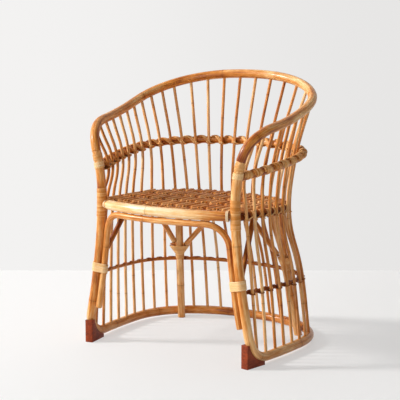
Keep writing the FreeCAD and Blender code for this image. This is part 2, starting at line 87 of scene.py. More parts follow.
class Value:
    """A shader socket that takes part in sums and products as a number does."""

    def __init__(self, shader: "Shader", socket: bpy.types.NodeSocket) -> None:
        """Wraps a socket."""
        self.shader = shader
        self.socket = socket

    def __add__(self, other: "Term") -> "Value":
        """The sum of the value and another."""
        return self.shader.maths("ADD", self, other)

    def __sub__(self, other: "Term") -> "Value":
        """The value less another."""
        return self.shader.maths("SUBTRACT", self, other)

    def __mul__(self, other: "Term") -> "Value":
        """The product of the value and another."""
        return self.shader.maths("MULTIPLY", self, other)

    def __radd__(self, other: "Term") -> "Value":
        """The sum of a number and the value."""
        return self.shader.maths("ADD", other, self)

    def __rsub__(self, other: "Term") -> "Value":
        """A number less the value."""
        return self.shader.maths("SUBTRACT", other, self)

    def __rmul__(self, other: "Term") -> "Value":
        """The product of a number and the value."""
        return self.shader.maths("MULTIPLY", other, self)

    def cos(self) -> "Value":
        """Cosine of the value in radians."""
        return self.shader.maths("COSINE", self)

    def sin(self) -> "Value":
        """Sine of the value in radians."""
        return self.shader.maths("SINE", self)

    def step(self, low: float, high: float) -> "Value":
        """A smooth rise from 0 at low to 1 at high; it falls where low is the greater.

        Args:
            low: Where the result is 0.
            high: Where the result is 1.

        Returns:
            The result.
        """
        return self.shader.node("ShaderNodeMapRange",
                                {"Value": self, "From Min": min(low, high), "From Max": max(low, high),
                                 "To Min": float(low > high), "To Max": float(low < high)},
                                interpolation_type="SMOOTHSTEP")


Term = Union[Value, float]


class Shader:
    """Builds the nodes of one material."""

    def __init__(self, name: str) -> None:
        """Starts an empty material.

        Args:
            name: Its name.
        """
        self.material = bpy.data.materials.new(name)
        self.material.use_nodes = True
        self.nodes = self.material.node_tree.nodes
        self.links = self.material.node_tree.links
        self.nodes.clear()

    def feed(self, socket: bpy.types.NodeSocket, value: Union[Term, tuple]) -> None:
        """Links a value to a socket, or sets a number or colour there.

        Args:
            socket: The input.
            value: What it is given.
        """
        if isinstance(value, Value):
            self.links.new(value.socket, socket)
        else:
            socket.default_value = value

    def node(self, kind: str, inputs: dict, output: Union[str, int, None] = 0, **settings) -> Value:
        """Adds a node.

        Args:
            kind: The node's type name.
            inputs: Values for its sockets, by name or place.
            output: The output to hand back, if the node has one.
            settings: Properties of the node.

        Returns:
            The chosen output.
        """
        made = self.nodes.new(kind)
        for name, value in settings.items():
            setattr(made, name, value)
        for name, value in inputs.items():
            self.feed(made.inputs[name], value)
        return Value(self, None if output is None else made.outputs[output])

    def maths(self, operation: str, *terms: Term) -> Value:
        """One arithmetic step on values or numbers."""
        return self.node("ShaderNodeMath", dict(enumerate(terms)), operation=operation)

    def vector(self, x: Term, y: Term, z: Term) -> Value:
        """A vector from three values."""
        return self.node("ShaderNodeCombineXYZ", {"X": x, "Y": y, "Z": z})

    def mark(self, name: str) -> Value:
        """A number kept on the mesh's points."""
        return self.node("ShaderNodeAttribute", {}, "Fac", attribute_name=name)

    def noise(self, vector: Value, scale: float, detail: float = 2.0, roughness: float = 0.5) -> Value:
        """Soft noise between 0 and 1 with its middle at a half."""
        return self.node("ShaderNodeTexNoise", {"Vector": vector, "Scale": scale, "Detail": detail,
                                                "Roughness": roughness})

    def ramp(self, value: Value, stops: Sequence[tuple[float, "Colour"]]) -> Value:
        """A colour from a value between 0 and 1.

        Args:
            value: The value.
            stops: Places between 0 and 1, and their colours.

        Returns:
            The colour.
        """
        made = self.nodes.new("ShaderNodeValToRGB")
        elements = made.color_ramp.elements
        while len(elements) < len(stops):
            elements.new(1.0)
        for element, (place, colour) in zip(elements, stops):
            element.position = place
            element.color = colour.linear
        self.links.new(value.socket, made.inputs["Fac"])
        return Value(self, made.outputs["Color"])

    def mix(self, first: Union[Value, "Colour"], second: Union[Value, "Colour"], share: Term) -> Value:
        """Two colours blended, with a share of the second.

        Args:
            first: The colour at a share of 0.
            second: The colour at a share of 1.
            share: The share of the second.

        Returns:
            The blended colour.
        """
        colours = [c.linear if isinstance(c, Colour) else c for c in (first, second)]
        made = self.nodes.new("ShaderNodeMix")
        made.data_type = "RGBA"
        named = {"Factor_Float": share, "A_Color": colours[0], "B_Color": colours[1]}
        for socket in made.inputs:
            if socket.identifier in named:
                self.feed(socket, named[socket.identifier])
        return Value(self, next(o for o in made.outputs if o.identifier == "Result_Color"))

    def bump(self, height: Value, distance: float) -> Value:
        """A surface normal raised by a height."""
        inputs = {"Height": height, "Distance": distance, "Strength": 1.0}
        return self.node("ShaderNodeBump", inputs, "Normal")

    def surface(self, colour: Value, roughness: Term, normal: Value, **constants: Term) -> Material:
        """Closes the material with its surface shader; further inputs are named in lower case.

        Args:
            colour: Its colour.
            roughness: Its roughness.
            normal: Its raised normal.
            constants: The further inputs.

        Returns:
            The material.
        """
        inputs = {"Base Color": colour, "Roughness": roughness, "Normal": normal}
        for name, value in constants.items():
            inputs[name.replace("_", " ").title().replace("Ior", "IOR")] = value
        return self.close(self.node("ShaderNodeBsdfPrincipled", inputs, "BSDF"))

    def close(self, shade: Value) -> Material:
        """Ends the material with a surface shader."""
        self.node("ShaderNodeOutputMaterial", {"Surface": shade}, None)
        return self.material


@dataclass(frozen=True)
class Colour:
    """A colour as seen on screen, 0 to 255."""

    red: int
    green: int
    blue: int

    @property
    def linear(self) -> tuple[float, float, float, float]:
        """The colour as light, with full cover."""
        shares = [value / 255 for value in (self.red, self.green, self.blue)]
        lights = [s / 12.92 if s <= 0.04045 else ((s + 0.055) / 1.055) ** 2.4 for s in shares]
        return (*lights, 1.0)


# Geometry


def unit(vectors: Array) -> Array:
    """Vectors at length one."""
    return vectors / np.linalg.norm(vectors, axis=-1, keepdims=True)


def square_to(headings: Array, vectors: Array) -> Array:
    """The parts of vectors that are square to headings, at length one."""
    return unit(vectors - headings * np.sum(vectors * headings, axis=-1, keepdims=True))


def read(items: Sequence, name: str, width: int, kind: type = np.float32) -> Array:
    """One property of every item in a mesh's list, as rows of numbers."""
    values = np.empty(len(items) * width, kind)
    items.foreach_get(name, values)
    return values.reshape(-1, width)


def lengths_along(points: Array) -> Array:
    """Distance from the first point to each point of a path."""
    return np.concatenate(([0.0], np.cumsum(np.linalg.norm(np.diff(points, axis=0), axis=1))))


def between(places: Array, along: Array, rows: Array) -> Array:
    """Rows of numbers at given places, drawn between those known along a path."""
    return np.stack([np.interp(places, along, column) for column in rows.T], axis=-1)


@dataclass(frozen=True)
class Wave:
    """A smooth random line about zero, by its greatest size and its wavelength."""

    size: float
    length: float

    def along(self, places: Array, rng: np.random.Generator) -> Array:
        """The line's values at the given places.

        Args:
            places: Where it is read.
            rng: Gives its heights.

        Returns:
            A value for each place.
        """
        knots = np.arange(places.min() - 2 * self.length, places.max() + 3 * self.length, self.length)
        heights = rng.uniform(-1.0, 1.0, len(knots))
        share = (places - knots[0]) / self.length
        index = share.astype(int)
        part = share - index
        part = part * part * (3 - 2 * part)
        return self.size * (heights[index] * (1 - part) + heights[index + 1] * part)


class CentreLine:
    """A pole's axis: even points from end to end, with headings and side vectors that don't twist."""

    CELL = 0.0001  # Cells in which the centres of rings are counted
    CROWD = 6  # Points that make a ring's centre
    APART = 0.004  # Least distance between centres
    TIP_REACH = 0.06  # Where an end's points are looked for
    SMOOTHING = 6
    FEWEST = 4
    ROUNDS = 6  # Rounds of fitting a straight axis, each to the share of points nearest to it
    NEAREST = 0.7
    FAR_OFF = 10.0  # Added to distances on the wrong side of the chair

    def __init__(self, points: Array, step: float = 0.004) -> None:
        """Lays even points along a path and smooths them.

        Args:
            points: The path.
            step: Metres from point to point, about.
        """
        along = lengths_along(points)
        count = max(int(round(along[-1] / step)), self.FEWEST) + 1
        self.points = between(np.linspace(0.0, along[-1], count), along, points)
        for _ in range(self.SMOOTHING):
            middle = self.points[:-2] + 2 * self.points[1:-1] + self.points[2:]
            self.points[1:-1] = middle / 4
        self.along = lengths_along(self.points)
        self.length = float(self.along[-1])
        self.heading = unit(np.gradient(self.points, axis=0))
        helper = np.eye(3)[np.argmin(np.abs(self.heading[0]))]
        side = np.cross(self.heading[0], helper)
        sides = []
        for heading in self.heading:
            side = unit(side - heading * side.dot(heading))
            sides.append(side)
        self.side = np.array(sides)
        self.top = np.cross(self.heading, self.side)

    @staticmethod
    def axis_points(node: str, diameter: float) -> tuple[Array, Array, Array]:
        """Finds the axis of a round CAD node under each corner of its mesh.

        Args:
            node: The CAD node.
            diameter: Its diameter.

        Returns:
            The axis's points, the corners' vertex numbers and the vertices' places.
        """
        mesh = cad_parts[node].data
        places = read(mesh.vertices, "co", 3)
        corners = read(mesh.loops, "vertex_index", 1, np.int32)[:, 0]
        normals = read(mesh.corner_normals, "vector", 3)
        return places[corners] - normals * (diameter / 2), corners, places

    @classmethod
    def straight(cls, node: str, diameter: float) -> "CentreLine":
        """The axis of a straight CAD rod, whatever its ends are cut to.

        Args:
            node: The CAD node.
            diameter: Its diameter.

        Returns:
            The axis from end to end.
        """
        axis, _, places = cls.axis_points(node, diameter)
        kept = axis
        for _ in range(cls.ROUNDS):
            centre = np.median(kept, axis=0)
            heading = np.linalg.svd(kept - kept.mean(axis=0), full_matrices=False)[2][0]
            off = axis - centre
            off = off - np.outer(off @ heading, heading)
            distance = np.linalg.norm(off, axis=1)
            kept = axis[distance <= np.quantile(distance, cls.NEAREST)]
        centre = np.median(kept, axis=0)
        reach = (places - centre) @ heading
        return cls.oriented(np.stack([centre + heading * reach.min(), centre + heading * reach.max()]))

    @classmethod
    def traced(cls, node: str, diameter: float) -> "CentreLine":
        """The axis of a bent CAD pole, found from where its rings of points centre.

        Args:
            node: The CAD node.
            diameter: Its diameter.

        Returns:
            The axis from end to end.
        """
        axis, corners, places = cls.axis_points(node, diameter)
        single = np.unique(np.column_stack([np.round(axis / cls.CELL), corners]), axis=0)
        cells, counts = np.unique(single[:, :3], axis=0, return_counts=True)
        busy = counts >= cls.CROWD
        dense = cells[busy][np.argsort(-counts[busy], kind="stable")] * cls.CELL
        kept = dense[:1]
        for point in dense[1:]:
            if np.min(np.sum((kept - point) ** 2, axis=1)) > cls.APART ** 2:
                kept = np.vstack([kept, point])
        start = int(np.argmax(np.linalg.norm(kept - kept.mean(axis=0), axis=1)))
        chain = kept[start:start + 1]
        rest = np.delete(kept, start, axis=0)
        while len(rest):
            gaps = np.linalg.norm(rest[:, None, :] - chain[None, :, :], axis=2)
            nearest = int(np.argmin(gaps.min(axis=1)))
            reach = gaps[nearest]
            detours = reach[:-1] + reach[1:] - np.linalg.norm(np.diff(chain, axis=0), axis=1)
            place = int(np.argmin(np.concatenate([reach[:1], detours, reach[-1:]])))
            chain = np.insert(chain, place, rest[nearest], axis=0)
            rest = np.delete(rest, nearest, axis=0)
        ends = []
        for end, inner in ((chain[0], chain[2]), (chain[-1], chain[-3])):
            heading = unit(end - inner)
            near = places[np.linalg.norm(places - end, axis=1) < cls.TIP_REACH]
            ends.append(end + heading * max(float(np.max((near - end) @ heading)), 0.0))
        return cls.oriented(np.vstack([ends[0], chain, ends[1]]))

    @classmethod
    def oriented(cls, points: Array) -> "CentreLine":
        """The line through the points, from left to right or, where it mostly rises, from the bottom up."""
        span = points[-1] - points[0]
        backward = span[0] < 0 if abs(span[0]) > abs(span[2]) else span[2] < 0
        return cls(points[::-1] if backward else points)

    def at(self, along: Array) -> Array:
        """Points at distances along the line."""
        return between(along, self.along, self.points)

    def heading_at(self, along: Array) -> Array:
        """Headings at distances along the line."""
        return unit(between(along, self.along, self.heading))

    def nearest(self, point: Array) -> float:
        """Distance along the line of its place nearest to a point."""
        return float(self.along[np.argmin(np.sum((self.points - point) ** 2, axis=1))])

    def crossing(self, other: "CentreLine") -> tuple[float, float]:
        """Distances along this line and the other at which they pass closest."""
        gaps = np.sum((self.points[:, None, :] - other.points[None, :, :]) ** 2, axis=2)
        mine, theirs = np.unravel_index(np.argmin(gaps), gaps.shape)
        return float(self.along[mine]), float(other.along[theirs])

    def at_height(self, height: float, side: Side) -> float:
        """Distance along the line where it stands at a height, on one side of the chair."""
        off = np.abs(self.points[:, 2] - height) + self.FAR_OFF * (self.points[:, 0] * side.value < 0)
        return float(self.along[np.argmin(off)])


CAP = (0.0, 0.5, 1.0)  # Shares of the radius at the rings that close a cut end
SQUARENESS = 0.75  # A strip's outline: 1 is an ellipse, less is squarer
TIP = 0.75  # Fullness of a strip next to its pointed end
WELD = 1e-6


def tube_rings(line: CentreLine, radii: Array, around: int, bevel: float) -> tuple[Array, Array]:
    """Rings of points round a line, closed by softly edged cut ends.

    Args:
        line: The tube's axis.
        radii: Its radius at each of the line's points.
        around: Points in a ring.
        bevel: Width of the soft edge.

    Returns:
        The points, shaped (rings, around, 3), and the distance along at each ring.
    """
    angles = np.arange(around) * (2 * math.pi / around)
    spokes = line.side[:, None, :] * np.cos(angles)[:, None] + line.top[:, None, :] * np.sin(angles)[:, None]
    rings = line.points[:, None, :] + spokes * radii[:, None, None]
    first, last = [], []
    for end, caps, inward in ((0, first, 1.0), (-1, last, -1.0)):
        for share in CAP:
            caps.append(line.points[end] + spokes[end] * (radii[end] - bevel) * share)
        rings[end] = rings[end] + line.heading[end] * (inward * bevel)
    rings = np.concatenate([np.array(first), rings, np.array(last[::-1])])
    return rings, np.pad(line.along, len(CAP), mode="edge")


def strip_rings(path: Array, outward: Array, half_width: Array, half_thickness: Array,
                around: int = 8) -> Array:
    """Rings of points of a flat strip that lies on a surface.

    Args:
        path: Points along the strip's middle.
        outward: The surface's direction at each point.
        half_width: Half its width at each point.
        half_thickness: Half its thickness at each point.
        around: Points in a ring.

    Returns:
        The points, shaped (points, around, 3).
    """
    heading = unit(np.gradient(path, axis=0))
    across = unit(np.cross(heading, outward))
    raised = np.cross(across, heading)
    angles = (np.arange(around) + 0.5) * (2 * math.pi / around)
    wide = np.sign(np.cos(angles)) * np.abs(np.cos(angles)) ** SQUARENESS
    tall = np.sign(np.sin(angles)) * np.abs(np.sin(angles)) ** SQUARENESS
    width = across[:, None, :] * (half_width[:, None] * wide)[:, :, None]
    height = raised[:, None, :] * (half_thickness[:, None] * tall)[:, :, None]
    return path[:, None, :] + width + height


def end_taper(count: int) -> Array:
    """A strip's fullness along it: full, but closed to a point at both ends.

    Args:
        count: Points along the strip.

    Returns:
        A share of its width at each point.
    """
    taper = np.ones(count)
    taper[[0, -1]] = 0.0
    taper[[1, -2]] = TIP
    return taper


def clear_selection() -> None:
    """Leaves nothing selected, so that an operator works on its own piece only."""
    bpy.ops.object.select_all(action="DESELECT")


def skin(name: str, rings: Array, along: Array, tone: Array, knot: Union[Array, float] = NO_RING,
         cut: Union[Array, float] = 0.0) -> Piece:
    """One mesh of closed tubes or strips with the same number of rings.

    Args:
        name: The object's name.
        rings: Points, shaped (tubes, rings, around, 3).
        along: Metres along each tube at each ring, shaped (tubes, rings).
        tone: Tone at each ring, from 0 dark to 1 pale.
        knot: Metres from each ring of points to the nearest growth ring.
        cut: 1 where a ring of points belongs to a cut end.

    Returns:
        The object, with the distance along and the turn round each tube as its UV map.
    """
    tubes, steps, around, _ = rings.shape
    clear_selection()
    bpy.ops.mesh.primitive_grid_add(x_subdivisions=around, y_subdivisions=steps - 1, size=2.0, calc_uvs=True)
    made = bpy.context.object
    made.name = name
    made.data.name = name
    if tubes > 1:
        array = made.modifiers.new("tubes", "ARRAY")
        array.count = tubes
        array.use_relative_offset = False
        array.use_constant_offset = True
        array.constant_offset_displace = (0.0, 0.0, 1.0)
        bpy.ops.object.modifier_apply(modifier=array.name)
    mesh = made.data
    grid = read(mesh.vertices, "co", 3)
    column = np.round((grid[:, 0] + 1) / 2 * around).astype(int)
    row = np.round((grid[:, 1] + 1) / 2 * (steps - 1)).astype(int)
    tube = np.round(grid[:, 2]).astype(int)
    mesh.vertices.foreach_set("co", rings[tube, row, column % around].astype(np.float32).ravel())
    corners = read(mesh.loops, "vertex_index", 1, np.int32)[:, 0]
    unwrapped = np.stack([along[tube, row], column / around], axis=1)[corners]
    mesh.uv_layers[0].data.foreach_set("uv", unwrapped.astype(np.float32).ravel())
    for mark, values in (("tone", tone), ("knot", knot), ("cut", cut)):
        kept = mesh.attributes.new(mark, "FLOAT", "POINT")
        kept.data.foreach_set("value", np.broadcast_to(values, along.shape)[tube, row].astype(np.float32))
    mesh.update()
    bpy.ops.object.mode_set(mode="EDIT")
    bpy.ops.mesh.select_all(action="SELECT")
    bpy.ops.mesh.remove_doubles(threshold=WELD)
    bpy.ops.mesh.normals_make_consistent(inside=False)
    bpy.ops.object.mode_set(mode="OBJECT")
    bpy.ops.object.shade_smooth()
    return made


def dress(piece: Piece, finish: Material, slot: Slot, *nodes: str) -> None:
    """Gives a piece its finish and ties it to the part, in place of the nodes named.

    Args:
        piece: The piece.
        finish: Its material.
        slot: Its slot in the record; not used.
        nodes: The CAD nodes that it stands for.
    """
    piece.data.materials.clear()
    piece.data.materials.append(finish)
    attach(piece, BODY)
    if nodes:
        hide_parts(*nodes)
    LOG.info("%s: %d faces", piece.name, len(piece.data.polygons))


# Finishes

PALETTE = (
    (0.0, Colour(64, 18, 2)),
    (0.25, Colour(142, 62, 8)),
    (0.5, Colour(216, 136, 55)),
    (0.75, Colour(247, 197, 132)),
    (1.0, Colour(254, 233, 196)),
)


@dataclass(frozen=True)
class Grain:
    """Noise in rattan: how fast it changes along a pole and round it, and how fine it is."""

    along: float
    around: float
    detail: float
    roughness: float = 0.5


@dataclass(frozen=True)
class Rattan:
    """Varnished rattan: fibres along the pole, cloudy tones, growth rings and a clear coat.

    It reads the distance along and the turn round the pole from the UV map, and from the points the tone
    (0 dark, 1 pale), the distance to the nearest growth ring and whether the face is a cut end.
    """

    name: str
    streak: float = 0.34
    cloud: float = 0.38
    fibre: float = 0.22
    roughness: float = 0.38
    coat: float = 0.40
    shine: float = 0.14
    relief: float = 0.0004

    # Streaks, clouds, fibres and flecks.
    GRAINS = (Grain(5.0, 2.4, 3.0), Grain(16.0, 0.7, 4.0, 0.6), Grain(30.0, 16.0, 2.0, 0.6),
              Grain(260.0, 5.0, 2.0))
    FIBRE_EDGE = (0.62, 0.34)
    FLECK_EDGE, FLECK_SHARE = (0.74, 0.86), 0.12
    LINE_COLOUR = Colour(94, 44, 16)
    RING_EDGE, RING_WOBBLE, RING_SHARE, RING_DEPTH = (0.0022, 0.0004), 0.002, 0.34, 0.8
    RING_COLOUR = Colour(84, 40, 18)
    HALO_EDGE, HALO_SHADE = (0.016, 0.0), 0.05
    CUT_COLOUR, CUT_SHARE = Colour(178, 128, 84), 0.7
    CLOUD_ROUGHNESS, RING_ROUGHNESS, COAT_ROUGHNESS = 0.30, 0.2, 0.24
    COAT_FULL, COAT_CLOUD = 1.2, 0.6

    def material(self) -> Material:
        """Builds the finish.

        Returns:
            The material.
        """
        shader = Shader(self.name)
        place = shader.node("ShaderNodeUVMap", {}, "UV")
        along = shader.node("ShaderNodeSeparateXYZ", {0: place}, "X")
        turn = shader.node("ShaderNodeSeparateXYZ", {0: place}, "Y") * (2 * math.pi)
        east, north = turn.cos(), turn.sin()
        streak, cloud, fibre, fleck = (
            shader.noise(shader.vector(along * grain.along, east * grain.around, north * grain.around), 1.0,
                         grain.detail, grain.roughness) for grain in self.GRAINS)
        knot = shader.mark("knot")
        ring = (knot + (fleck - 0.5) * self.RING_WOBBLE).step(*self.RING_EDGE)
        halo = knot.step(*self.HALO_EDGE) * self.HALO_SHADE
        tone = shader.mark("tone") + (streak - 0.5) * (2 * self.streak) + (cloud - 0.5) * (2 * self.cloud)
        line = fibre.step(*self.FIBRE_EDGE) * self.fibre + fleck.step(*self.FLECK_EDGE) * self.FLECK_SHARE
        colour = shader.mix(shader.ramp(tone - halo, PALETTE), self.LINE_COLOUR, line)
        colour = shader.mix(colour, self.RING_COLOUR, ring * self.RING_SHARE)
        colour = shader.mix(colour, self.CUT_COLOUR, shader.mark("cut") * self.CUT_SHARE)
        rough = self.roughness + (cloud - 0.5) * self.CLOUD_ROUGHNESS + ring * self.RING_ROUGHNESS
        height = fibre * 0.5 + streak * 0.5 - ring * self.RING_DEPTH
        coat = self.coat * (self.COAT_FULL - cloud * self.COAT_CLOUD)
        return shader.surface(colour, rough, shader.bump(height, self.relief), coat_weight=coat,
                              coat_roughness=self.COAT_ROUGHNESS, specular_ior_level=self.shine)


@dataclass(frozen=True)
class Hardwood:
    """Oiled hardwood with grain along one axis of the part."""

    name: str
    dark: Colour
    light: Colour
    stretch: Point
    roughness: float = 0.5
    coat: float = 0.05
    shine: float = 0.2
    relief: float = 0.0003

    PORE_COLOUR, PORE_EDGE, PORE_SHARE = Colour(58, 22, 10), (0.62, 0.78), 0.45
    GRAIN_EDGE = (0.25, 0.75)

    def material(self) -> Material:
        """Builds the finish.

        Returns:
            The material.
        """
        shader = Shader(self.name)
        place = shader.node("ShaderNodeTexCoord", {}, "Object")
        stretched = shader.node("ShaderNodeMapping", {"Vector": place, "Scale": self.stretch}, "Vector")
        grain = shader.noise(stretched, 1.0, 4.0, 0.65)
        pore = shader.noise(stretched, 4.0, 2.0, 0.7)
        patch = shader.noise(place, 26.0, 3.0)
        colour = shader.mix(self.dark, self.light, (grain * 0.7 + patch * 0.5 - 0.1).step(*self.GRAIN_EDGE))
        colour = shader.mix(colour, self.PORE_COLOUR, pore.step(*self.PORE_EDGE) * self.PORE_SHARE)
        rough = self.roughness + (patch - 0.5) * 0.25
        return shader.surface(colour, rough, shader.bump(grain + pore, self.relief), coat_weight=self.coat,
                              coat_roughness=0.3, specular_ior_level=self.shine)


@dataclass(frozen=True)
class Steel:
    """Zinc-plated steel with a dull bloom."""

    name: str

    def material(self) -> Material:
        """Builds the finish.

        Returns:
            The material.
        """
        shader = Shader(self.name)
        place = shader.node("ShaderNodeTexCoord", {}, "Object")
        bloom = shader.noise(place, 900.0, 3.0)
        colour = shader.mix(Colour(150, 150, 146), Colour(192, 190, 184), bloom)
        return shader.surface(colour, bloom * 0.3 + 0.25, shader.bump(bloom, 0.00005), metallic=1.0)


@dataclass(frozen=True)
class Plaster:
    """Plain pale paint for the floor or the wall, clear from behind so that the chair shows from every side.

    The camera sees a share of the shown colours, from the left to the right, whatever light falls there;
    their step from paler at the left to darker at the right is painted light, brighter on the key lamp's
    side.
    """

    name: str
    colour: Colour
    shown: tuple[Colour, Colour]
    share: float = 1.0
    reach: float = 0.76

    CLOUD_STEP = 5
    RAYS = ("Camera", "Glossy", "Transmission")

    def material(self) -> Material:
        """Builds the finish.

        Returns:
            The material.
        """
        shader = Shader(self.name)
        place = shader.node("ShaderNodeTexCoord", {}, "Object")
        cloud = shader.noise(place, 0.9, 2.0)
        paler = Colour(*(min(255, value + self.CLOUD_STEP) for value in astuple(self.colour)))
        paint = shader.node("ShaderNodeBsdfPrincipled", {"Base Color": shader.mix(self.colour, paler, cloud),
                                                         "Roughness": 0.75}, "BSDF")
        across = shader.node("ShaderNodeSeparateXYZ", {0: place}, "X") + (cloud - 0.5) * 0.4
        # Painted light: the shown colour darkens from the left, the key lamp's side, to the right.
        colour = shader.mix(*self.shown, across.step(-self.reach, self.reach))
        glow = shader.node("ShaderNodeEmission", {"Color": colour, "Strength": 1.0}, "Emission")
        rays = [shader.node("ShaderNodeLightPath", {}, f"Is {kind} Ray") for kind in self.RAYS]
        seen = (rays[0] + rays[1] + rays[2]) * self.share
        paint = shader.node("ShaderNodeMixShader", {0: seen, 1: paint, 2: glow}, "Shader")
        behind = shader.node("ShaderNodeNewGeometry", {}, "Backfacing")
        clear = shader.node("ShaderNodeBsdfTransparent", {}, "BSDF")
        return shader.close(shader.node("ShaderNodeMixShader", {0: behind, 1: paint, 2: clear}, "Shader"))


# Poles


@dataclass(frozen=True)
class PoleMake:
    """How one pole is made: its CAD node, size, growth and tones.

    Tones are pairs of a share of the length, from the left or from the bottom, and a tone.
    """

    node: str
    diameter: float
    tones: tuple[tuple[float, float], ...]
    slot: Slot = Slot.POLE
    bent: bool = True
    around: int = 22
    ring_gap: float = 0.27
    swell: float = 0.022
    bevel: float = 0.0016
    necks: tuple[float, float] = (0.0, 0.0)
    trim: float = 0.0


class Pole:
    """A rattan pole on the axis of its CAD node, slightly uneven, with growth rings."""

    FULL = 0.972
    UNEVEN = Wave(0.010, 0.07)
    FIRST_RING, NEXT_RING = (0.3, 0.8), (0.7, 1.3)  # Ranges, in shares of the gap between rings
    RING_WIDTH = 0.005
    RING_MARGIN = 0.02
    NECK = 0.45
    NECK_STEPS = 400
    SHOULDER = 0.013
    TONE_SPREAD = 0.03

    def __init__(self, make: PoleMake, seed: int) -> None:
        """Finds the pole's axis.

        Args:
            make: How it is made.
            seed: Its seed.
        """
        self.make = make
        self.rng = np.random.default_rng(seed)
        trace = CentreLine.traced if make.bent else CentreLine.straight
        self.line = trace(make.node, make.diameter)
        if any(make.necks):
            self.line = CentreLine(self.line.points, self.line.length / self.NECK_STEPS)
        if make.trim:
            kept = np.linspace(make.trim, self.line.length, len(self.line.along))
            self.line = CentreLine(self.line.at(kept))

    def shoulders(self) -> Array:
        """Fullness along the pole where its ends are shaved to a neck behind a round shoulder.

        Returns:
            A share of the radius at each point of the axis.
        """
        full = np.ones(len(self.line.along))
        for neck, distance in zip(self.make.necks, (self.line.along, self.line.length - self.line.along)):
            if neck:
                share = np.clip((distance - neck) / self.SHOULDER, 0.0, 1.0)
                full = full * (self.NECK + (1.0 - self.NECK) * np.sqrt(1.0 - (1.0 - share) ** 2))
        return full

    def ring_distance(self) -> Array:
        """Distance from each point of the axis to the nearest growth ring.

        Returns:
            The distance in metres at each point.
        """
        line, gap = self.line, self.make.ring_gap
        places = [line.length + 1.0]
        place = self.rng.uniform(*self.FIRST_RING) * gap
        while place < line.length - self.RING_MARGIN:
            places.append(line.along[np.argmin(np.abs(line.along - place))])
            place += self.rng.uniform(*self.NEXT_RING) * gap
        return np.min(np.abs(line.along[:, None] - np.array(places)), axis=1)

    def build(self, finish: Material) -> None:
        """Makes the pole and hides its CAD node.

        Args:
            finish: Its material.
        """
        line, make = self.line, self.make
        rings_off = self.ring_distance()
        uneven = self.UNEVEN.along(line.along, self.rng)
        swollen = make.swell * np.exp(-(rings_off / self.RING_WIDTH) ** 2)
        radii = make.diameter / 2 * np.minimum(self.FULL + uneven + swollen, 1.0) * self.shoulders()
        rings, along = tube_rings(line, radii, make.around, make.bevel)
        rings[:, :, 2] = np.maximum(rings[:, :, 2], 0.0)
        shares, tones = zip(*make.tones)
        tone = np.interp(along / line.length, shares, tones)
        tone = tone + self.rng.uniform(-self.TONE_SPREAD, self.TONE_SPREAD)
        knot = np.pad(np.minimum(rings_off, NO_RING), len(CAP), constant_values=NO_RING)
        cut = np.pad(np.zeros(len(rings_off)), len(CAP), constant_values=1.0)
        along = along + self.rng.uniform(0.0, GRAIN_LENGTH)
        piece = skin(make.node + "_pole", rings[None], along[None], tone, knot, cut)
        dress(piece, finish, make.slot, make.node)


BENT_POLES = (
    # The top rail's paler stretch about 0.62 of the way along is a painted highlight; its other tones are its
    # own colours.
    PoleMake("top_rail", 0.028, ((0.0, 0.46), (0.12, 0.56), (0.3, 0.46), (0.5, 0.50), (0.62, 0.62),
                                 (0.75, 0.58), (0.9, 0.56), (0.97, 0.38), (1.0, 0.32))),
    PoleMake("frame_pole", 0.028, ((0.0, 0.52), (0.08, 0.48), (0.15, 0.46), (0.21, 0.62), (0.3, 0.55),
                                   (0.5, 0.44), (0.7, 0.56), (0.79, 0.62), (0.9, 0.56), (0.98, 0.62),
                                   (1.0, 0.66))),
    PoleMake("seat_front_rail", 0.029, ((0.0, 0.70), (0.1, 0.80), (0.55, 0.86), (0.78, 0.70), (0.9, 0.44),
                                        (1.0, 0.30)), necks=(0.026, 0.014)),
    PoleMake("front_arch", 0.019, ((0.0, 0.56), (0.3, 0.55), (0.5, 0.55), (0.7, 0.50), (1.0, 0.48))),
    # The seat ring is toned very dark as painted shade: the shadow under the seat's edge, seen between the
    # spindles where the wraps stop.
    PoleMake("seat_ring", 0.022, ((0.0, 0.12), (1.0, 0.12)), Slot.HOOP),
    PoleMake("mid_hoop", 0.022, ((0.0, 0.36), (0.4, 0.40), (0.6, 0.48), (0.75, 0.46), (1.0, 0.38)),
             Slot.HOOP),
    # The lower hoop darkens towards its right end: painted shade, on the side away from the light.
    PoleMake("lower_hoop", 0.011, ((0.0, 0.42), (0.5, 0.36), (1.0, 0.20)), Slot.HOOP, around=16),
)
SIDE_POLES = (
    PoleMake("rear_leg", 0.025, ((0.0, 0.62), (0.5, 0.64), (1.0, 0.56))),
    PoleMake("back_brace", 0.017, ((0.0, 0.64), (1.0, 0.46)), bent=False, around=18, bevel=0.004, trim=0.028),
    PoleMake("fore_brace", 0.017, ((0.0, 0.60), (1.0, 0.44)), bent=False, around=18, bevel=0.004, trim=0.028),
    PoleMake("post_brace", 0.016, ((0.0, 0.34), (1.0, 0.30)), bent=False, around=18),
)
BEARER = PoleMake("seat_bearer", 0.018, ((0.0, 0.4), (1.0, 0.4)), bent=False, around=16)


@dataclass
class Frame:
    """The chair's poles: rail, posts, hoops, arch, legs and braces."""

    poles: tuple[PoleMake, ...] = (*BENT_POLES, BEARER)
    side_poles: tuple[PoleMake, ...] = SIDE_POLES
    seed: int = 11
    lines: dict[str, CentreLine] = field(default_factory=dict)

    def build(self, finish: Material) -> None:
        """Makes every pole and keeps its axis for the pieces tied to it.

        Args:
            finish: Their material.
        """
        paired = [replace(make, node=make.node + side.tail) for make in self.side_poles for side in Side]
        for seed, make in enumerate((*self.poles, *paired), self.seed):
            pole = Pole(make, seed)
            pole.build(finish)
            self.lines[make.node] = pole.line


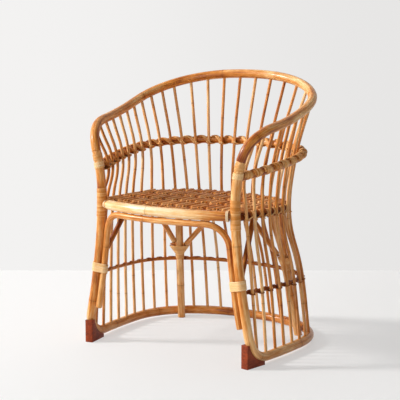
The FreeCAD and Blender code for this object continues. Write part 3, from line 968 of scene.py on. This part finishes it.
@dataclass
class Spindles:
    """The slender uprights of the back and sides, numbered on each side from the back's middle."""

    count: int = 15
    diameter: float = 0.0095
    around: int = 12
    ring_gap: float = 0.21
    swell: float = 0.028
    bevel: float = 0.0006
    tones: tuple[float, float] = (0.46, 0.74)
    end_spread: float = 0.07
    seed: int = 5
    pole_seed: int = 100
    pole_seed_step: int = 20
    lines: dict[Side, list[CentreLine]] = field(default_factory=lambda: {side: [] for side in Side})

    def build(self, finish: Material) -> None:
        """Makes every spindle and keeps its axis.

        Args:
            finish: Their material.
        """
        rng = np.random.default_rng(self.seed)
        for side in Side:
            for number in range(1, self.count + 1):
                low, high = rng.uniform(-self.end_spread, self.end_spread, 2) + rng.uniform(*self.tones)
                make = PoleMake(f"spindle_{number:02d}{side.tail}", self.diameter, ((0.0, low), (1.0, high)),
                                Slot.SPINDLE, around=self.around, ring_gap=self.ring_gap, swell=self.swell,
                                bevel=self.bevel)
                pole = Pole(make, self.pole_seed + self.pole_seed_step * number + side.value)
                pole.build(finish)
                self.lines[side].append(pole.line)


# Cane work

TURN_POINTS = 48
ARC_POINTS = 80


def belt(radius: float, beside: float = 0.0, spacing: float = 0.0) -> tuple[Array, Array]:
    """One turn of cane: the tight loop round a circle, or round it and another beside it.

    Args:
        radius: The circle's radius.
        beside: The other circle's radius.
        spacing: Distance of the other's centre along the first axis, or nothing where there is no other.

    Returns:
        The loop's points and outward directions, in two dimensions and evenly spaced from the far side of the
        other circle; the last point repeats the first.
    """
    lean = math.acos((radius - beside) / spacing) if spacing else 0.0
    near = np.linspace(0.0, lean, ARC_POINTS // 2) if spacing else np.zeros(0)
    far = np.linspace(lean, 2 * math.pi - lean, ARC_POINTS if spacing else 2 * ARC_POINTS)
    angles = np.concatenate([near, far, -near[::-1]])
    sizes = (len(near), len(far), len(near))
    spokes = np.stack([np.cos(angles), np.sin(angles)], axis=1)
    points = spokes * np.repeat((beside, radius, beside), sizes)[:, None]
    points[:, 0] += np.repeat((spacing, 0.0, spacing), sizes)
    along = lengths_along(points)
    places = np.linspace(0.0, along[-1], TURN_POINTS + 1)
    return between(places, along, points), unit(between(places, along, spokes))


@dataclass(frozen=True)
class Cane:
    """A flat strip of cane."""

    width: float
    thickness: float
    tone: float
    spread: float = 0.08


class Winding:
    """Cane wound in close turns round a pole, or round a pole and a neighbour."""

    # Wavelengths in turns.
    WIDTH, THICKNESS, LIFT = Wave(0.05, 0.7), Wave(0.10, 0.5), Wave(0.1, 0.4)
    TONE_LENGTH = 0.8

    def __init__(self, name: str, cane: Cane, seed: int) -> None:
        """Takes up the cane.

        Args:
            name: The winding's name.
            cane: Its cane.
            seed: Its seed.
        """
        self.name = name
        self.cane = cane
        self.rng = np.random.default_rng(seed)

    def build(self, finish: Material, centres: Array, headings: Array, toward: Array,
              loops: Sequence[tuple[Array, Array]], nodes: Sequence[str] = ()) -> None:
        """Makes the winding.

        Args:
            finish: Its material.
            centres: The pole's centre at each point of the winding.
            headings: The pole's heading at each point.
            toward: The loops' first axis.
            loops: A loop for each turn.
            nodes: CAD nodes that the winding stands for.
        """
        cane, rng = self.cane, self.rng
        flat = np.concatenate([loop[:-1] for loop, _ in loops])
        spokes = np.concatenate([outward[:-1] for _, outward in loops])
        across = square_to(headings, toward)
        side = np.cross(headings, across)
        path = centres + across * flat[:, :1] + side * flat[:, 1:]
        outward = across * spokes[:, :1] + side * spokes[:, 1:]
        taper = end_taper(len(path))
        turns = np.arange(len(path)) / TURN_POINTS
        width = cane.width / 2 * (1.0 + self.WIDTH.along(turns, rng)) * taper
        thickness = cane.thickness / 2 * (1.0 + self.THICKNESS.along(turns, rng)) * taper
        path = path + outward * (cane.thickness * self.LIFT.along(turns, rng))[:, None]
        rings = strip_rings(path, outward, width, thickness)
        tone = cane.tone + Wave(cane.spread, self.TONE_LENGTH).along(turns, rng)
        along = lengths_along(path) + rng.uniform(0.0, GRAIN_LENGTH)
        dress(skin(self.name, rings[None], along[None], tone), finish, Slot.CANE, *nodes)


@dataclass(frozen=True)
class BandMake:
    """A band round each post; without a first height and a number of turns it takes its CAD band's."""

    name: str
    cane: Cane
    place: Union[tuple[float, int], None] = None


@dataclass(frozen=True)
class TieMake:
    """A tie on the front rail; its start is from the rail's right end where it is negative."""

    start: float
    radius: float
    turns: int


@dataclass
class Bindings:
    """The cane bands on the posts, on the legs and at the front rail's ends."""

    lines: dict[str, CentreLine]
    pitch: float = 0.0047
    cad_edge: float = 0.002
    overlap: float = 0.0001
    post_radius: float = 0.014
    arch_radius: float = 0.0095
    post_bands: tuple[BandMake, ...] = (
        BandMake("seat_binding", Cane(0.0035, 0.0009, 0.58, 0.10), (0.3880, 25)),
        BandMake("rail_binding", Cane(0.0047, 0.0007, 0.62, 0.05)),
        BandMake("arch_binding", Cane(0.0047, 0.0022, 0.80, 0.10)),
        BandMake("arm_band", Cane(0.0046, 0.0014, 0.80, 0.08), (0.5300, 4)),
    )
    post_seed: int = 31
    leg_cane: Cane = Cane(0.0046, 0.0018, 0.68, 0.10)
    leg_radius: float = 0.0125
    leg_flush: int = 4
    leg_flare: int = 6
    leg_spread: tuple[float, float] = (1.35, 0.10)
    leg_seed: int = 61
    tie_cane: Cane = Cane(0.0024, 0.0018, 0.96)
    tie_pitch: float = 0.0026
    ties: tuple[TieMake, ...] = (TieMake(0.0185, 0.0105, 2), TieMake(-0.0210, 0.0149, 3))
    tie_seed: int = 71

    def turns(self, node: str) -> tuple[float, int]:
        """Height of a CAD band's first turn, and its number of turns."""
        low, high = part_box(node)
        count = max(int(round((high.z - low.z - 2 * self.cad_edge) / self.pitch)), 1)
        return low.z + self.cad_edge, count

    def stretch(self, line: CentreLine, start: float, turns: int, pitch: float) -> tuple[Array, Array]:
        """Centres and headings of a pole at each point of a winding."""
        places = start + np.arange(turns * TURN_POINTS) / TURN_POINTS * pitch
        return line.at(places), line.heading_at(places)

    def build(self, finish: Material) -> None:
        """Makes every band.

        Args:
            finish: Their material.
        """
        for side in Side:
            for seed, make in enumerate(self.post_bands, self.post_seed + side.value):
                self.post_band(finish, make, side, seed)
            self.leg_band(finish, side)
        rail = self.lines["seat_front_rail"]
        for number, tie in enumerate(self.ties):
            centres, headings = self.stretch(rail, tie.start % rail.length, tie.turns, self.tie_pitch)
            winding = Winding(f"front_rail_tie_{number}", self.tie_cane, self.tie_seed + number)
            winding.build(finish, centres, headings, UP, [belt(tie.radius)] * tie.turns)

    def post_band(self, finish: Material, make: BandMake, side: Side, seed: int) -> None:
        """One band round a post, taking in the arch's leg where that stands beside it.

        Args:
            finish: Its material.
            make: How it is made.
            side: The post's side.
            seed: The winding's seed.
        """
        node, cane = make.name + side.tail, make.cane
        nodes = [node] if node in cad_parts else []
        line = self.lines["frame_pole"]
        height, turns = make.place or self.turns(node)
        start = line.at_height(height, side)
        rising = 1.0 if line.heading_at(np.array(start))[2] > 0 else -1.0
        centres, headings = self.stretch(line, start, turns, (cane.width - self.overlap) * rising)
        radius = self.post_radius + cane.thickness / 2
        toward, loop = np.array((0.0, 1.0, 0.0)), belt(radius)
        if make.name == "arch_binding":
            arch = self.lines["front_arch"]
            middle = centres[len(centres) // 2]
            toward = arch.at(np.array(arch.nearest(middle))) - middle
            loop = belt(radius, self.arch_radius + cane.thickness / 2, float(np.linalg.norm(toward)))
        winding = Winding(node + "_band" if nodes else node, cane, seed)
        winding.build(finish, centres, headings * rising, toward, [loop] * turns, nodes)

    def leg_band(self, finish: Material, side: Side) -> None:
        """The band that gathers two braces to a rear leg: flush turns, then a funnel round their ends.

        Args:
            finish: Its material.
            side: The leg's side.
        """
        node = "leg_binding" + side.tail
        line = self.lines["rear_leg" + side.tail]
        turns = self.leg_flush + self.leg_flare
        start = line.at_height(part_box(node)[0].z + self.cad_edge, side)
        centres, headings = self.stretch(line, start, turns, self.leg_cane.width - 2 * self.overlap)
        tops = [self.lines[brace + side.tail].points[-1] for brace in ("fore_brace", "back_brace")]
        loop, outward = belt(self.leg_radius + self.leg_cane.thickness / 2)
        spread = np.array(self.leg_spread)
        loops = []
        for turn in range(turns):
            wider = 1.0 + spread * (max(turn - self.leg_flush + 1, 0) / self.leg_flare)
            loops.append((loop * wider, unit(outward / wider)))
        winding = Winding(node + "_band", self.leg_cane, self.leg_seed + side.value)
        winding.build(finish, centres, headings, tops[0] - tops[1], loops, [node])


@dataclass(frozen=True)
class LashingMake:
    """A running lashing of a hoop to the spindles that cross it; angles are in degrees."""

    name: str
    hoop: str
    hoop_diameter: float
    cane: Cane
    strands: int
    far_pitch: float
    near_pitch: float
    nodes: tuple[str, ...] = ()
    # Painted shade: the strands are darkened on the hoop's far side, and more and more from the hoop's left
    # end towards its right.
    shade: float = 0.0
    bulge: float = 0.0
    fade: float = 0.0
    crossing: float = -48.0
    turned: float = -262.0
    turn_share: float = 0.30


class Lashing:
    """Strands of cane that wind along a hoop and take in each spindle on the way, one turn to a spindle.

    A strand crosses a spindle low on the hoop, goes round the hoop's far side, comes over its top and slants
    down the near side to the next spindle.
    """

    PER_TURN = 40
    AROUND = 6
    GRIP = 0.12
    END = 0.014
    MARGIN = 0.004
    SLACK = 0.0003
    FLATNESS = 0.9
    # Wavelengths in turns.
    LIFT, WIDTH = Wave(0.0004, 0.35), Wave(0.10, 0.6)
    TONE_LENGTH = 0.5

    def __init__(self, make: LashingMake, hoop: CentreLine, spindles: Sequence[CentreLine]) -> None:
        """Finds where the spindles cross the hoop.

        Args:
            make: How it is made.
            hoop: The hoop's axis.
            spindles: The spindles' axes.
        """
        self.make = make
        self.hoop = hoop
        found = sorted((*hoop.crossing(spindle), number) for number, spindle in enumerate(spindles))
        self.places = np.array([place for place, _, _ in found])
        centres = np.array([spindles[number].at(np.array(there)) for _, there, number in found])
        self.toward = centres - hoop.at(self.places)

    def build(self, finish: Material) -> None:
        """Makes all the strands as one piece.

        Args:
            finish: Its material.
        """
        make, cane = self.make, self.make.cane
        rng = np.random.default_rng(len(make.name))
        gaps = np.diff(self.places)
        first = max(self.places[0] - gaps[0], self.END)
        last = min(self.places[-1] + gaps[-1], self.hoop.length - self.END)
        marks = np.concatenate([[first], self.places, [last]])
        count = (len(marks) - 1) * self.PER_TURN + 1
        turn = np.arange(count) / self.PER_TURN
        middle = np.interp(turn, np.arange(len(marks)), marks)
        part = turn % 1.0
        angle = np.radians(np.interp(part, (0.0, make.turn_share, 1.0),
                                     (make.crossing, make.turned, make.crossing - 360.0)))
        grip = np.exp(-(np.minimum(part, 1.0 - part) / self.GRIP) ** 2)
        far = (1.0 - np.cos(angle)) / 2
        lift = cane.thickness / 2 + self.SLACK
        spacing = float(np.median(np.linalg.norm(self.toward, axis=1)))
        radius = make.hoop_diameter / 2 + lift
        held = spacing + Spindles.diameter / 2 + lift
        inward = (radius * np.cos(angle) * (1.0 - grip) + held * grip)[:, None]
        level = (radius * np.sin(angle))[:, None]
        leads = between(middle, self.places, self.toward)
        taper = end_taper(count)
        tubes, lengths, tones = [], [], []
        for strand in range(make.strands):
            offset = strand - (make.strands - 1) / 2
            shift = offset * (make.near_pitch + (make.far_pitch - make.near_pitch) * far)
            places = np.clip(middle + shift, self.MARGIN, self.hoop.length - self.MARGIN)
            centres, headings = self.hoop.at(places), self.hoop.heading_at(places)
            toward = square_to(headings, leads)
            side = np.cross(headings, toward)
            side = side * np.sign(side[:, 2:])
            crown = make.bulge * far * (1.0 - (2 * offset / make.strands) ** 2)
            lifted = (self.LIFT.along(turn, rng) + crown)[:, None]
            upper = side * np.sin(angle)[:, None] * self.FLATNESS
            raised = unit(toward * (np.cos(angle) + grip)[:, None] + upper)
            path = centres + toward * inward + side * level + raised * lifted
            width = cane.width / 2 * (1.0 + self.WIDTH.along(turn, rng)) * taper
            tubes.append(strip_rings(path, raised, width, cane.thickness / 2 * taper, self.AROUND))
            lengths.append(lengths_along(path) + rng.uniform(0.0, GRAIN_LENGTH))
            # Painted shade: darker on the hoop's far side and towards the hoop's right end.
            tones.append(cane.tone + Wave(cane.spread, self.TONE_LENGTH).along(turn, rng)
                         - make.shade * far - make.fade * places / self.hoop.length)
        piece = skin(make.name, np.array(tubes), np.array(lengths), np.array(tones))
        dress(piece, finish, Slot.CANE, *make.nodes)


LASHINGS = (
    LashingMake("mid_hoop_lashing", "mid_hoop", 0.022, Cane(0.0044, 0.0020, 0.64, 0.16), 8, 0.0041, 0.0010,
                ("hoop_lashings",), shade=0.04, bulge=0.0045),
    LashingMake("lower_hoop_lashing", "lower_hoop", 0.011, Cane(0.0036, 0.0020, 0.46, 0.14), 3, 0.0050,
                0.0028, ("hoop_lashings",), fade=0.14),
    LashingMake("seat_ring_lashing", "seat_ring", 0.027, Cane(0.0034, 0.0022, 0.66, 0.12), 2, 0.0060, 0.0034,
                crossing=-62.0, turned=-366.0, turn_share=0.16),
)


# Seat


@dataclass
class Strips:
    """Strips of one kind of cane in the seat, made as one piece."""

    name: str
    cane: Cane
    nodes: tuple[str, ...] = ()
    paths: list[Array] = field(default_factory=list)
    tones: list[Array] = field(default_factory=list)
    outward: list[Array] = field(default_factory=list)

    def add(self, path: Array, tone: Array, outward: Array = UP) -> None:
        """Lays one more strip, with its tone and its upper side's direction along it."""
        self.paths.append(path)
        self.tones.append(tone)
        self.outward.append(np.broadcast_to(outward, path.shape))

    def build(self, finish: Material, rng: np.random.Generator) -> None:
        """Makes the piece.

        Args:
            finish: Its material.
            rng: Gives each strip its own grain.
        """
        taper = end_taper(len(self.paths[0]))
        width, thickness = self.cane.width / 2 * taper, self.cane.thickness / 2 * taper
        tubes = [strip_rings(path, up, width, thickness) for path, up in zip(self.paths, self.outward)]
        lengths = [lengths_along(path) + rng.uniform(0.0, GRAIN_LENGTH) for path in self.paths]
        piece = skin(self.name, np.array(tubes), np.array(lengths), np.array(self.tones))
        dress(piece, finish, Slot.SEAT, *self.nodes)


@dataclass
class WovenSeat:
    """The woven panel: strands in bundles that run front to back, over and under stakes that run across.

    Each kind of strip has its cane, its depth under the panel's middle, and waves in its lie and its tone.
    Angles are in degrees round the ring, from its outer side.
    """

    lines: dict[str, CentreLine]
    spindles: Sequence[CentreLine]
    seed: int = 8
    rings: int = 140
    ring_inset: float = 0.004
    front_inset: float = 0.004
    back_reach: float = 0.002
    middle: float = -0.05

    strand: Cane = Cane(0.0058, 0.0040, 0.60, 0.09)
    strand_sink: float = 0.0014
    strand_pitch: float = 0.0058
    strand_drift: Wave = Wave(0.0006, 0.05)
    strand_lift: Wave = Wave(0.0005, 0.04)
    strand_tone: Wave = Wave(0.08, 0.06)
    bundle_strands: int = 4
    bundle_pitch: float = 0.0258
    bundle_spread: float = 0.05
    lean: float = 0.14
    lean_from: float = 0.03
    float_length: float = 0.100
    float_from: float = 0.02
    stagger: float = 0.007
    arch: float = 0.0060
    depth: float = 0.0080
    dive: float = 0.0095
    dive_shade: float = 0.22
    edge_shade: float = 0.03

    # Dark strips of painted shade, low in the grooves between the bundles.
    filler: Cane = Cane(0.0100, 0.0024, 0.14)
    filler_sink: float = 0.0042
    filler_tone: Wave = Wave(0.06, 0.05)

    stake: Cane = Cane(0.0066, 0.0036, 0.24)
    stake_sink: float = 0.0010
    stake_pitch: float = 0.025
    stake_lift: Wave = Wave(0.0003, 0.03)
    stake_tone: Wave = Wave(0.05, 0.05)
    stake_margins: tuple[float, float] = (0.012, 0.02)
    probes: int = 64
    probe_step: float = 0.004
    narrowest: float = 0.02

    wrap: Cane = Cane(0.0062, 0.0036, 0.40, 0.08)
    gap_wraps: int = 6
    wrap_points: int = 28
    wrap_start: float = 168.0
    wrap_end: tuple[float, float] = (-66.0, 62.0)
    wrap_margin: float = 0.08
    wrap_jitter: float = 0.15
    wrap_slant: float = -0.006
    wrap_reach: float = 0.0132
    wrap_lift: tuple[float, float] = (-0.0004, 0.0016)
    wrap_shade: float = 0.14

    def __post_init__(self) -> None:
        """Finds the panel's plane and width, and where the spindles cross the ring."""
        self.ring = self.lines["seat_ring"]
        self.rail = self.lines["seat_front_rail"]
        self.places = sorted(self.ring.crossing(spindle)[0] for spindle in self.spindles)
        places = read(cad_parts["woven_seat"].data.vertices, "co", 3)
        table = np.column_stack([places[:, 0], places[:, 1], np.ones(len(places))])
        self.plane = np.linalg.lstsq(table, places[:, 2], rcond=None)[0]
        self.half = float(np.max(self.ring.points[:, 0])) - self.ring_inset
        self.bundles = int(self.half / self.bundle_pitch) + 1
        self.rng = np.random.default_rng(self.seed)

    def height(self, x: Array, y: Array) -> Array:
        """Height of the panel's middle."""
        return self.plane[0] * x + self.plane[1] * y + self.plane[2]

    def span(self, x: float) -> tuple[float, float]:
        """Depths of the front rail's middle and of the ring's middle at a place across the chair.

        Args:
            x: The place.

        Returns:
            The two depths.
        """
        front = np.interp(x, self.rail.points[:, 0], self.rail.points[:, 1])
        points = self.ring.points
        behind = points[points[:, 1] > points[np.argmax(points[:, 0]), 1]]
        return float(front), float(np.interp(x, behind[:, 0], behind[:, 1]))

    def breadth(self, y: float) -> float:
        """Half the panel's width at a depth."""
        probes = [index * self.probe_step for index in range(self.probes)]
        return max((x for x in probes if self.span(x)[0] < y < self.span(x)[1]), default=self.narrowest)

    def lay(self, x: float) -> tuple[Array, Array]:
        """Places across and from front to back of a strip, which leans to the left in the back half."""
        front, back = self.span(x)
        y = np.linspace(front + self.front_inset, back + self.back_reach, self.rings)
        return x - self.lean * np.maximum(y - self.lean_from, 0.0), y

    def build(self, finish: Material) -> None:
        """Makes the strands, the dark strips of painted shade between their bundles, the stakes and the wraps
        over the ring.

        Args:
            finish: Their material.
        """
        strands, fillers = self.strands(), self.fillers()
        fillers.build(finish, self.rng)
        strands.build(finish, self.rng)
        self.stakes().build(finish, self.rng)
        self.wraps().build(finish, self.rng)

    def strands(self) -> Strips:
        """Strands that float over the stakes and dive under one at each end of a float.

        Returns:
            The strips, ready to be made.
        """
        strands = Strips("woven_strands", self.strand, ("woven_seat",))
        for bundle in range(-self.bundles, self.bundles + 1):
            shade = self.rng.uniform(-self.bundle_spread, self.bundle_spread)
            for strand in range(self.bundle_strands):
                off = strand - (self.bundle_strands - 1) / 2
                x = bundle * self.bundle_pitch + off * self.strand_pitch
                if abs(x) > self.half:
                    continue
                across, y = self.lay(x)
                across = across + self.strand_drift.along(y, self.rng)
                stagger = off * self.stagger * (1 if bundle % 2 else -1)
                phase = ((y + stagger + self.float_from) / self.float_length + 0.5) % 1.0 - 0.5
                dive = np.exp(-(phase * self.float_length / self.dive) ** 4)
                raised = self.arch * (1.0 - (off / 2.0) ** 2) * (1.0 - dive) - self.depth * dive
                z = self.height(across, y) - self.strand_sink + raised + self.strand_lift.along(y, self.rng)
                slope = self.arch * off / 2.0 / self.strand_pitch * (1.0 - dive)
                tone = self.strand.tone + shade + self.rng.uniform(-self.strand.spread, self.strand.spread)
                tone = tone + self.strand_tone.along(y, self.rng)
                strands.add(np.stack([across, y, z], axis=1),
                            tone - self.dive_shade * dive - self.edge_shade * abs(off),
                            unit(np.stack([slope, np.zeros_like(y), np.ones_like(y)], axis=1)))
        return strands

    def fillers(self) -> Strips:
        """Dark strips low in the gaps between the bundles: painted shade in the grooves there.

        Returns:
            The strips, ready to be made.
        """
        fillers = Strips("woven_fillers", self.filler)
        for bundle in range(-self.bundles, self.bundles):
            x = (bundle + 0.5) * self.bundle_pitch
            if abs(x) < self.half:
                across, y = self.lay(x)
                fillers.add(np.stack([across, y, self.height(across, y) - self.filler_sink], axis=1),
                            self.filler.tone + self.filler_tone.along(y, self.rng))
        return fillers

    def stakes(self) -> Strips:
        """Stakes that run across, from the back to the front rail.

        Returns:
            The strips, ready to be made.
        """
        stakes = Strips("woven_stakes", self.stake)
        last = float(self.ring.points[:, 1].max()) - self.stake_margins[0]
        first = float(self.rail.points[:, 1].min()) + self.stake_margins[1]
        for y in np.arange(last, first, -self.stake_pitch):
            reach = self.breadth(y)
            x = np.linspace(-reach, reach, self.rings)
            z = self.height(x, y) - self.stake_sink + self.stake_lift.along(x, self.rng)
            stakes.add(np.stack([x, np.full_like(x, y), z], axis=1),
                       self.stake.tone + self.stake_tone.along(x, self.rng))
        return stakes

    def wraps(self) -> Strips:
        """Strands that lap over the ring between the spindles, from the panel to the ring's underside.

        Returns:
            The strips, ready to be made.
        """
        wraps = Strips("ring_wraps", self.wrap)
        low, high = self.wrap_end
        for start, end in zip(self.places[:-1], self.places[1:]):
            for wrap in range(self.gap_wraps):
                share = (wrap + 0.5 + self.rng.uniform(-self.wrap_jitter, self.wrap_jitter)) / self.gap_wraps
                turn = np.radians(np.linspace(self.wrap_start, low + (high - low) * share, self.wrap_points))
                along = np.linspace(0.0, 1.0, self.wrap_points)
                shifted = self.wrap_margin + (1 - 2 * self.wrap_margin) * share
                place = np.array(start + (end - start) * shifted)
                centre, heading = self.ring.at(place), self.ring.heading_at(place)
                outward = unit(np.cross(heading, UP))
                outward = outward * np.sign(outward @ (centre - np.array((0.0, self.middle, centre[2]))))
                spoke = outward * np.cos(turn)[:, None] + UP * np.sin(turn)[:, None]
                reach = self.wrap_reach + self.rng.uniform(*self.wrap_lift)
                tone = self.wrap.tone + self.rng.uniform(-self.wrap.spread, self.wrap.spread)
                wraps.add(centre + spoke * reach + heading * (along * self.wrap_slant)[:, None],
                          tone - self.wrap_shade * along, spoke)
        return wraps


# Feet and fixings


@dataclass
class Feet:
    """The sawn wedges under the front bends, and the hidden screws and dowels."""

    bevel: float = 0.0014
    bevel_steps: int = 2
    sharp: float = math.radians(40.0)
    flat: float = math.radians(1.0)
    weld: float = 1e-5
    wood: Hardwood = Hardwood("foot_wood", Colour(104, 36, 10), Colour(168, 72, 31), (160.0, 40.0, 160.0))
    dowel_wood: Hardwood = Hardwood("dowel_wood", Colour(196, 154, 104), Colour(224, 188, 140),
                                    (300.0, 300.0, 60.0))
    screw_steel: Steel = Steel("screw_steel")

    def build(self) -> None:
        """Makes softer copies of the CAD wedges, and finishes the CAD fixings."""
        finish = self.wood.material()
        for side in Side:
            self.wedge("foot_block" + side.tail, finish)
        for node, fixing in (("arm_dowels", self.dowel_wood), ("foot_screws", self.screw_steel)):
            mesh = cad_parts[node].data
            mesh.materials.clear()
            mesh.materials.append(fixing.material())

    def wedge(self, node: str, finish: Material) -> None:
        """One foot, from a copy of its CAD mesh with its edges softened.

        Args:
            node: The CAD wedge.
            finish: Its material.
        """
        clear_selection()
        wedge = bpy.data.objects.new(node + "_wedge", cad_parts[node].data.copy())
        bpy.context.scene.collection.objects.link(wedge)
        bpy.context.view_layer.objects.active = wedge
        wedge.select_set(True)
        bpy.ops.mesh.customdata_custom_splitnormals_clear()
        bpy.ops.object.mode_set(mode="EDIT")
        bpy.ops.mesh.select_all(action="SELECT")
        bpy.ops.mesh.remove_doubles(threshold=self.weld)
        bpy.ops.mesh.dissolve_limited(angle_limit=self.flat)
        bpy.ops.object.mode_set(mode="OBJECT")
        bevel = wedge.modifiers.new("soft_edges", "BEVEL")
        bevel.width = self.bevel
        bevel.segments = self.bevel_steps
        bevel.limit_method = "ANGLE"
        bevel.angle_limit = self.sharp
        bpy.ops.object.modifier_apply(modifier=bevel.name)
        bpy.ops.object.shade_smooth_by_angle(angle=self.sharp)
        dress(wedge, finish, Slot.FOOT, node)


# Studio


@dataclass(frozen=True)
class Lamp:
    """A soft rectangular light."""

    name: str
    place: Point
    aim: Point
    size: tuple[float, float]
    power: float
    colour: Point = (1.0, 1.0, 1.0)

    def build(self) -> None:
        """Hangs the light."""
        bpy.ops.object.light_add(type="AREA", location=self.place)
        lamp = bpy.context.object
        lamp.name = self.name
        lamp.rotation_euler = (Vector(self.aim) - Vector(self.place)).to_track_quat("-Z", "Y").to_euler()
        lamp.data.shape = "RECTANGLE"
        lamp.data.size, lamp.data.size_y = self.size
        lamp.data.energy = self.power
        lamp.data.color = self.colour


@dataclass(frozen=True)
class Studio:
    """Camera, floor, wall and lights."""

    eye: Point = (1.9987, -3.1454, 0.9704)
    view: Point = (-0.53619, 0.83161, -0.14462)
    lens: float = 112.5
    sensor: float = 36.0
    wall_distance: float = 1.03
    sheet_size: float = 24.0
    sky: Point = (0.96, 0.97, 1.0)
    sky_strength: float = 0.20
    # The floor's and wall's shown colours darken from left to right: painted fall-off of the key lamp's
    # light.
    floor_paint: Plaster = Plaster("floor_paint", Colour(238, 238, 238),
                                   (Colour(252, 251, 250), Colour(234, 233, 232)), 0.55)
    wall_paint: Plaster = Plaster("wall_paint", Colour(240, 240, 239),
                                  (Colour(243, 242, 241), Colour(231, 230, 229)))
    lamps: tuple[Lamp, ...] = (
        Lamp("key", (-11.8, -7.7, 8.3), (0.0, 0.0, 0.35), (2.1, 2.1), 2700.0, (1.0, 0.985, 0.96)),
        Lamp("overhead", (-0.2, -0.4, 3.0), (0.0, 0.0, 0.0), (2.6, 2.6), 4.0),
        Lamp("front", (-0.2, -5.6, 2.6), (0.0, 0.0, 0.45), (2.4, 2.4), 75.0),
    )

    def build(self) -> None:
        """Sets up everything that isn't the chair."""
        clear_selection()
        bpy.ops.object.camera_add(location=self.eye)
        camera = bpy.context.object
        camera.rotation_euler = Vector(self.view).to_track_quat("-Z", "Y").to_euler()
        camera.data.lens = self.lens
        camera.data.sensor_width = self.sensor
        bpy.context.scene.camera = camera
        for lamp in self.lamps:
            lamp.build()
        self.backdrop()
        world = bpy.data.worlds.new("studio")
        world.use_nodes = True
        world.node_tree.nodes["Background"].inputs["Color"].default_value = (*self.sky, 1.0)
        world.node_tree.nodes["Background"].inputs["Strength"].default_value = self.sky_strength
        bpy.context.scene.world = world
        bpy.context.scene.view_settings.view_transform = "Standard"

    def backdrop(self) -> None:
        """The floor, and a wall square to the view."""
        ahead = Vector((self.view[0], self.view[1], 0.0)).normalized()
        upright = (math.pi / 2, 0.0, math.atan2(ahead.y, ahead.x) - math.pi / 2)
        floor = self.sheet("floor", self.floor_paint)
        wall = self.sheet("wall", self.wall_paint, ahead * self.wall_distance, upright)

    def sheet(self, name: str, paint: Plaster, place: Union[Point, Vector] = (0.0, 0.0, 0.0),
              turn: Point = (0.0, 0.0, 0.0)) -> Piece:
        """A large painted plane.

        Args:
            name: Its name.
            paint: Its finish.
            place: Its middle.
            turn: Its rotation.

        Returns:
            The plane.
        """
        bpy.ops.mesh.primitive_plane_add(size=self.sheet_size, location=place, rotation=turn)
        sheet = bpy.context.object
        sheet.name = name
        sheet.data.materials.append(paint.material())
        return sheet


def main() -> None:
    """Builds the chair in order, then the studio."""
    logging.basicConfig(level=logging.INFO, format="%(name)s: %(message)s")
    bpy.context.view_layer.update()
    pole_finish = Rattan("rattan").material()
    chair = Frame()
    chair.build(pole_finish)
    spindles = Spindles()
    spindles.build(pole_finish)
    cane = Rattan("split_cane", streak=0.10, cloud=0.14, fibre=0.24, roughness=0.46, coat=0.12)
    cane_finish = cane.material()
    Bindings(chair.lines).build(cane_finish)
    every_spindle = spindles.lines[Side.RIGHT] + spindles.lines[Side.LEFT]
    for make in LASHINGS:
        Lashing(make, chair.lines[make.hoop], every_spindle).build(cane_finish)
    WovenSeat(chair.lines, every_spindle).build(cane_finish)
    Feet().build()
    Studio().build()


if __name__ == "__main__":
    main()
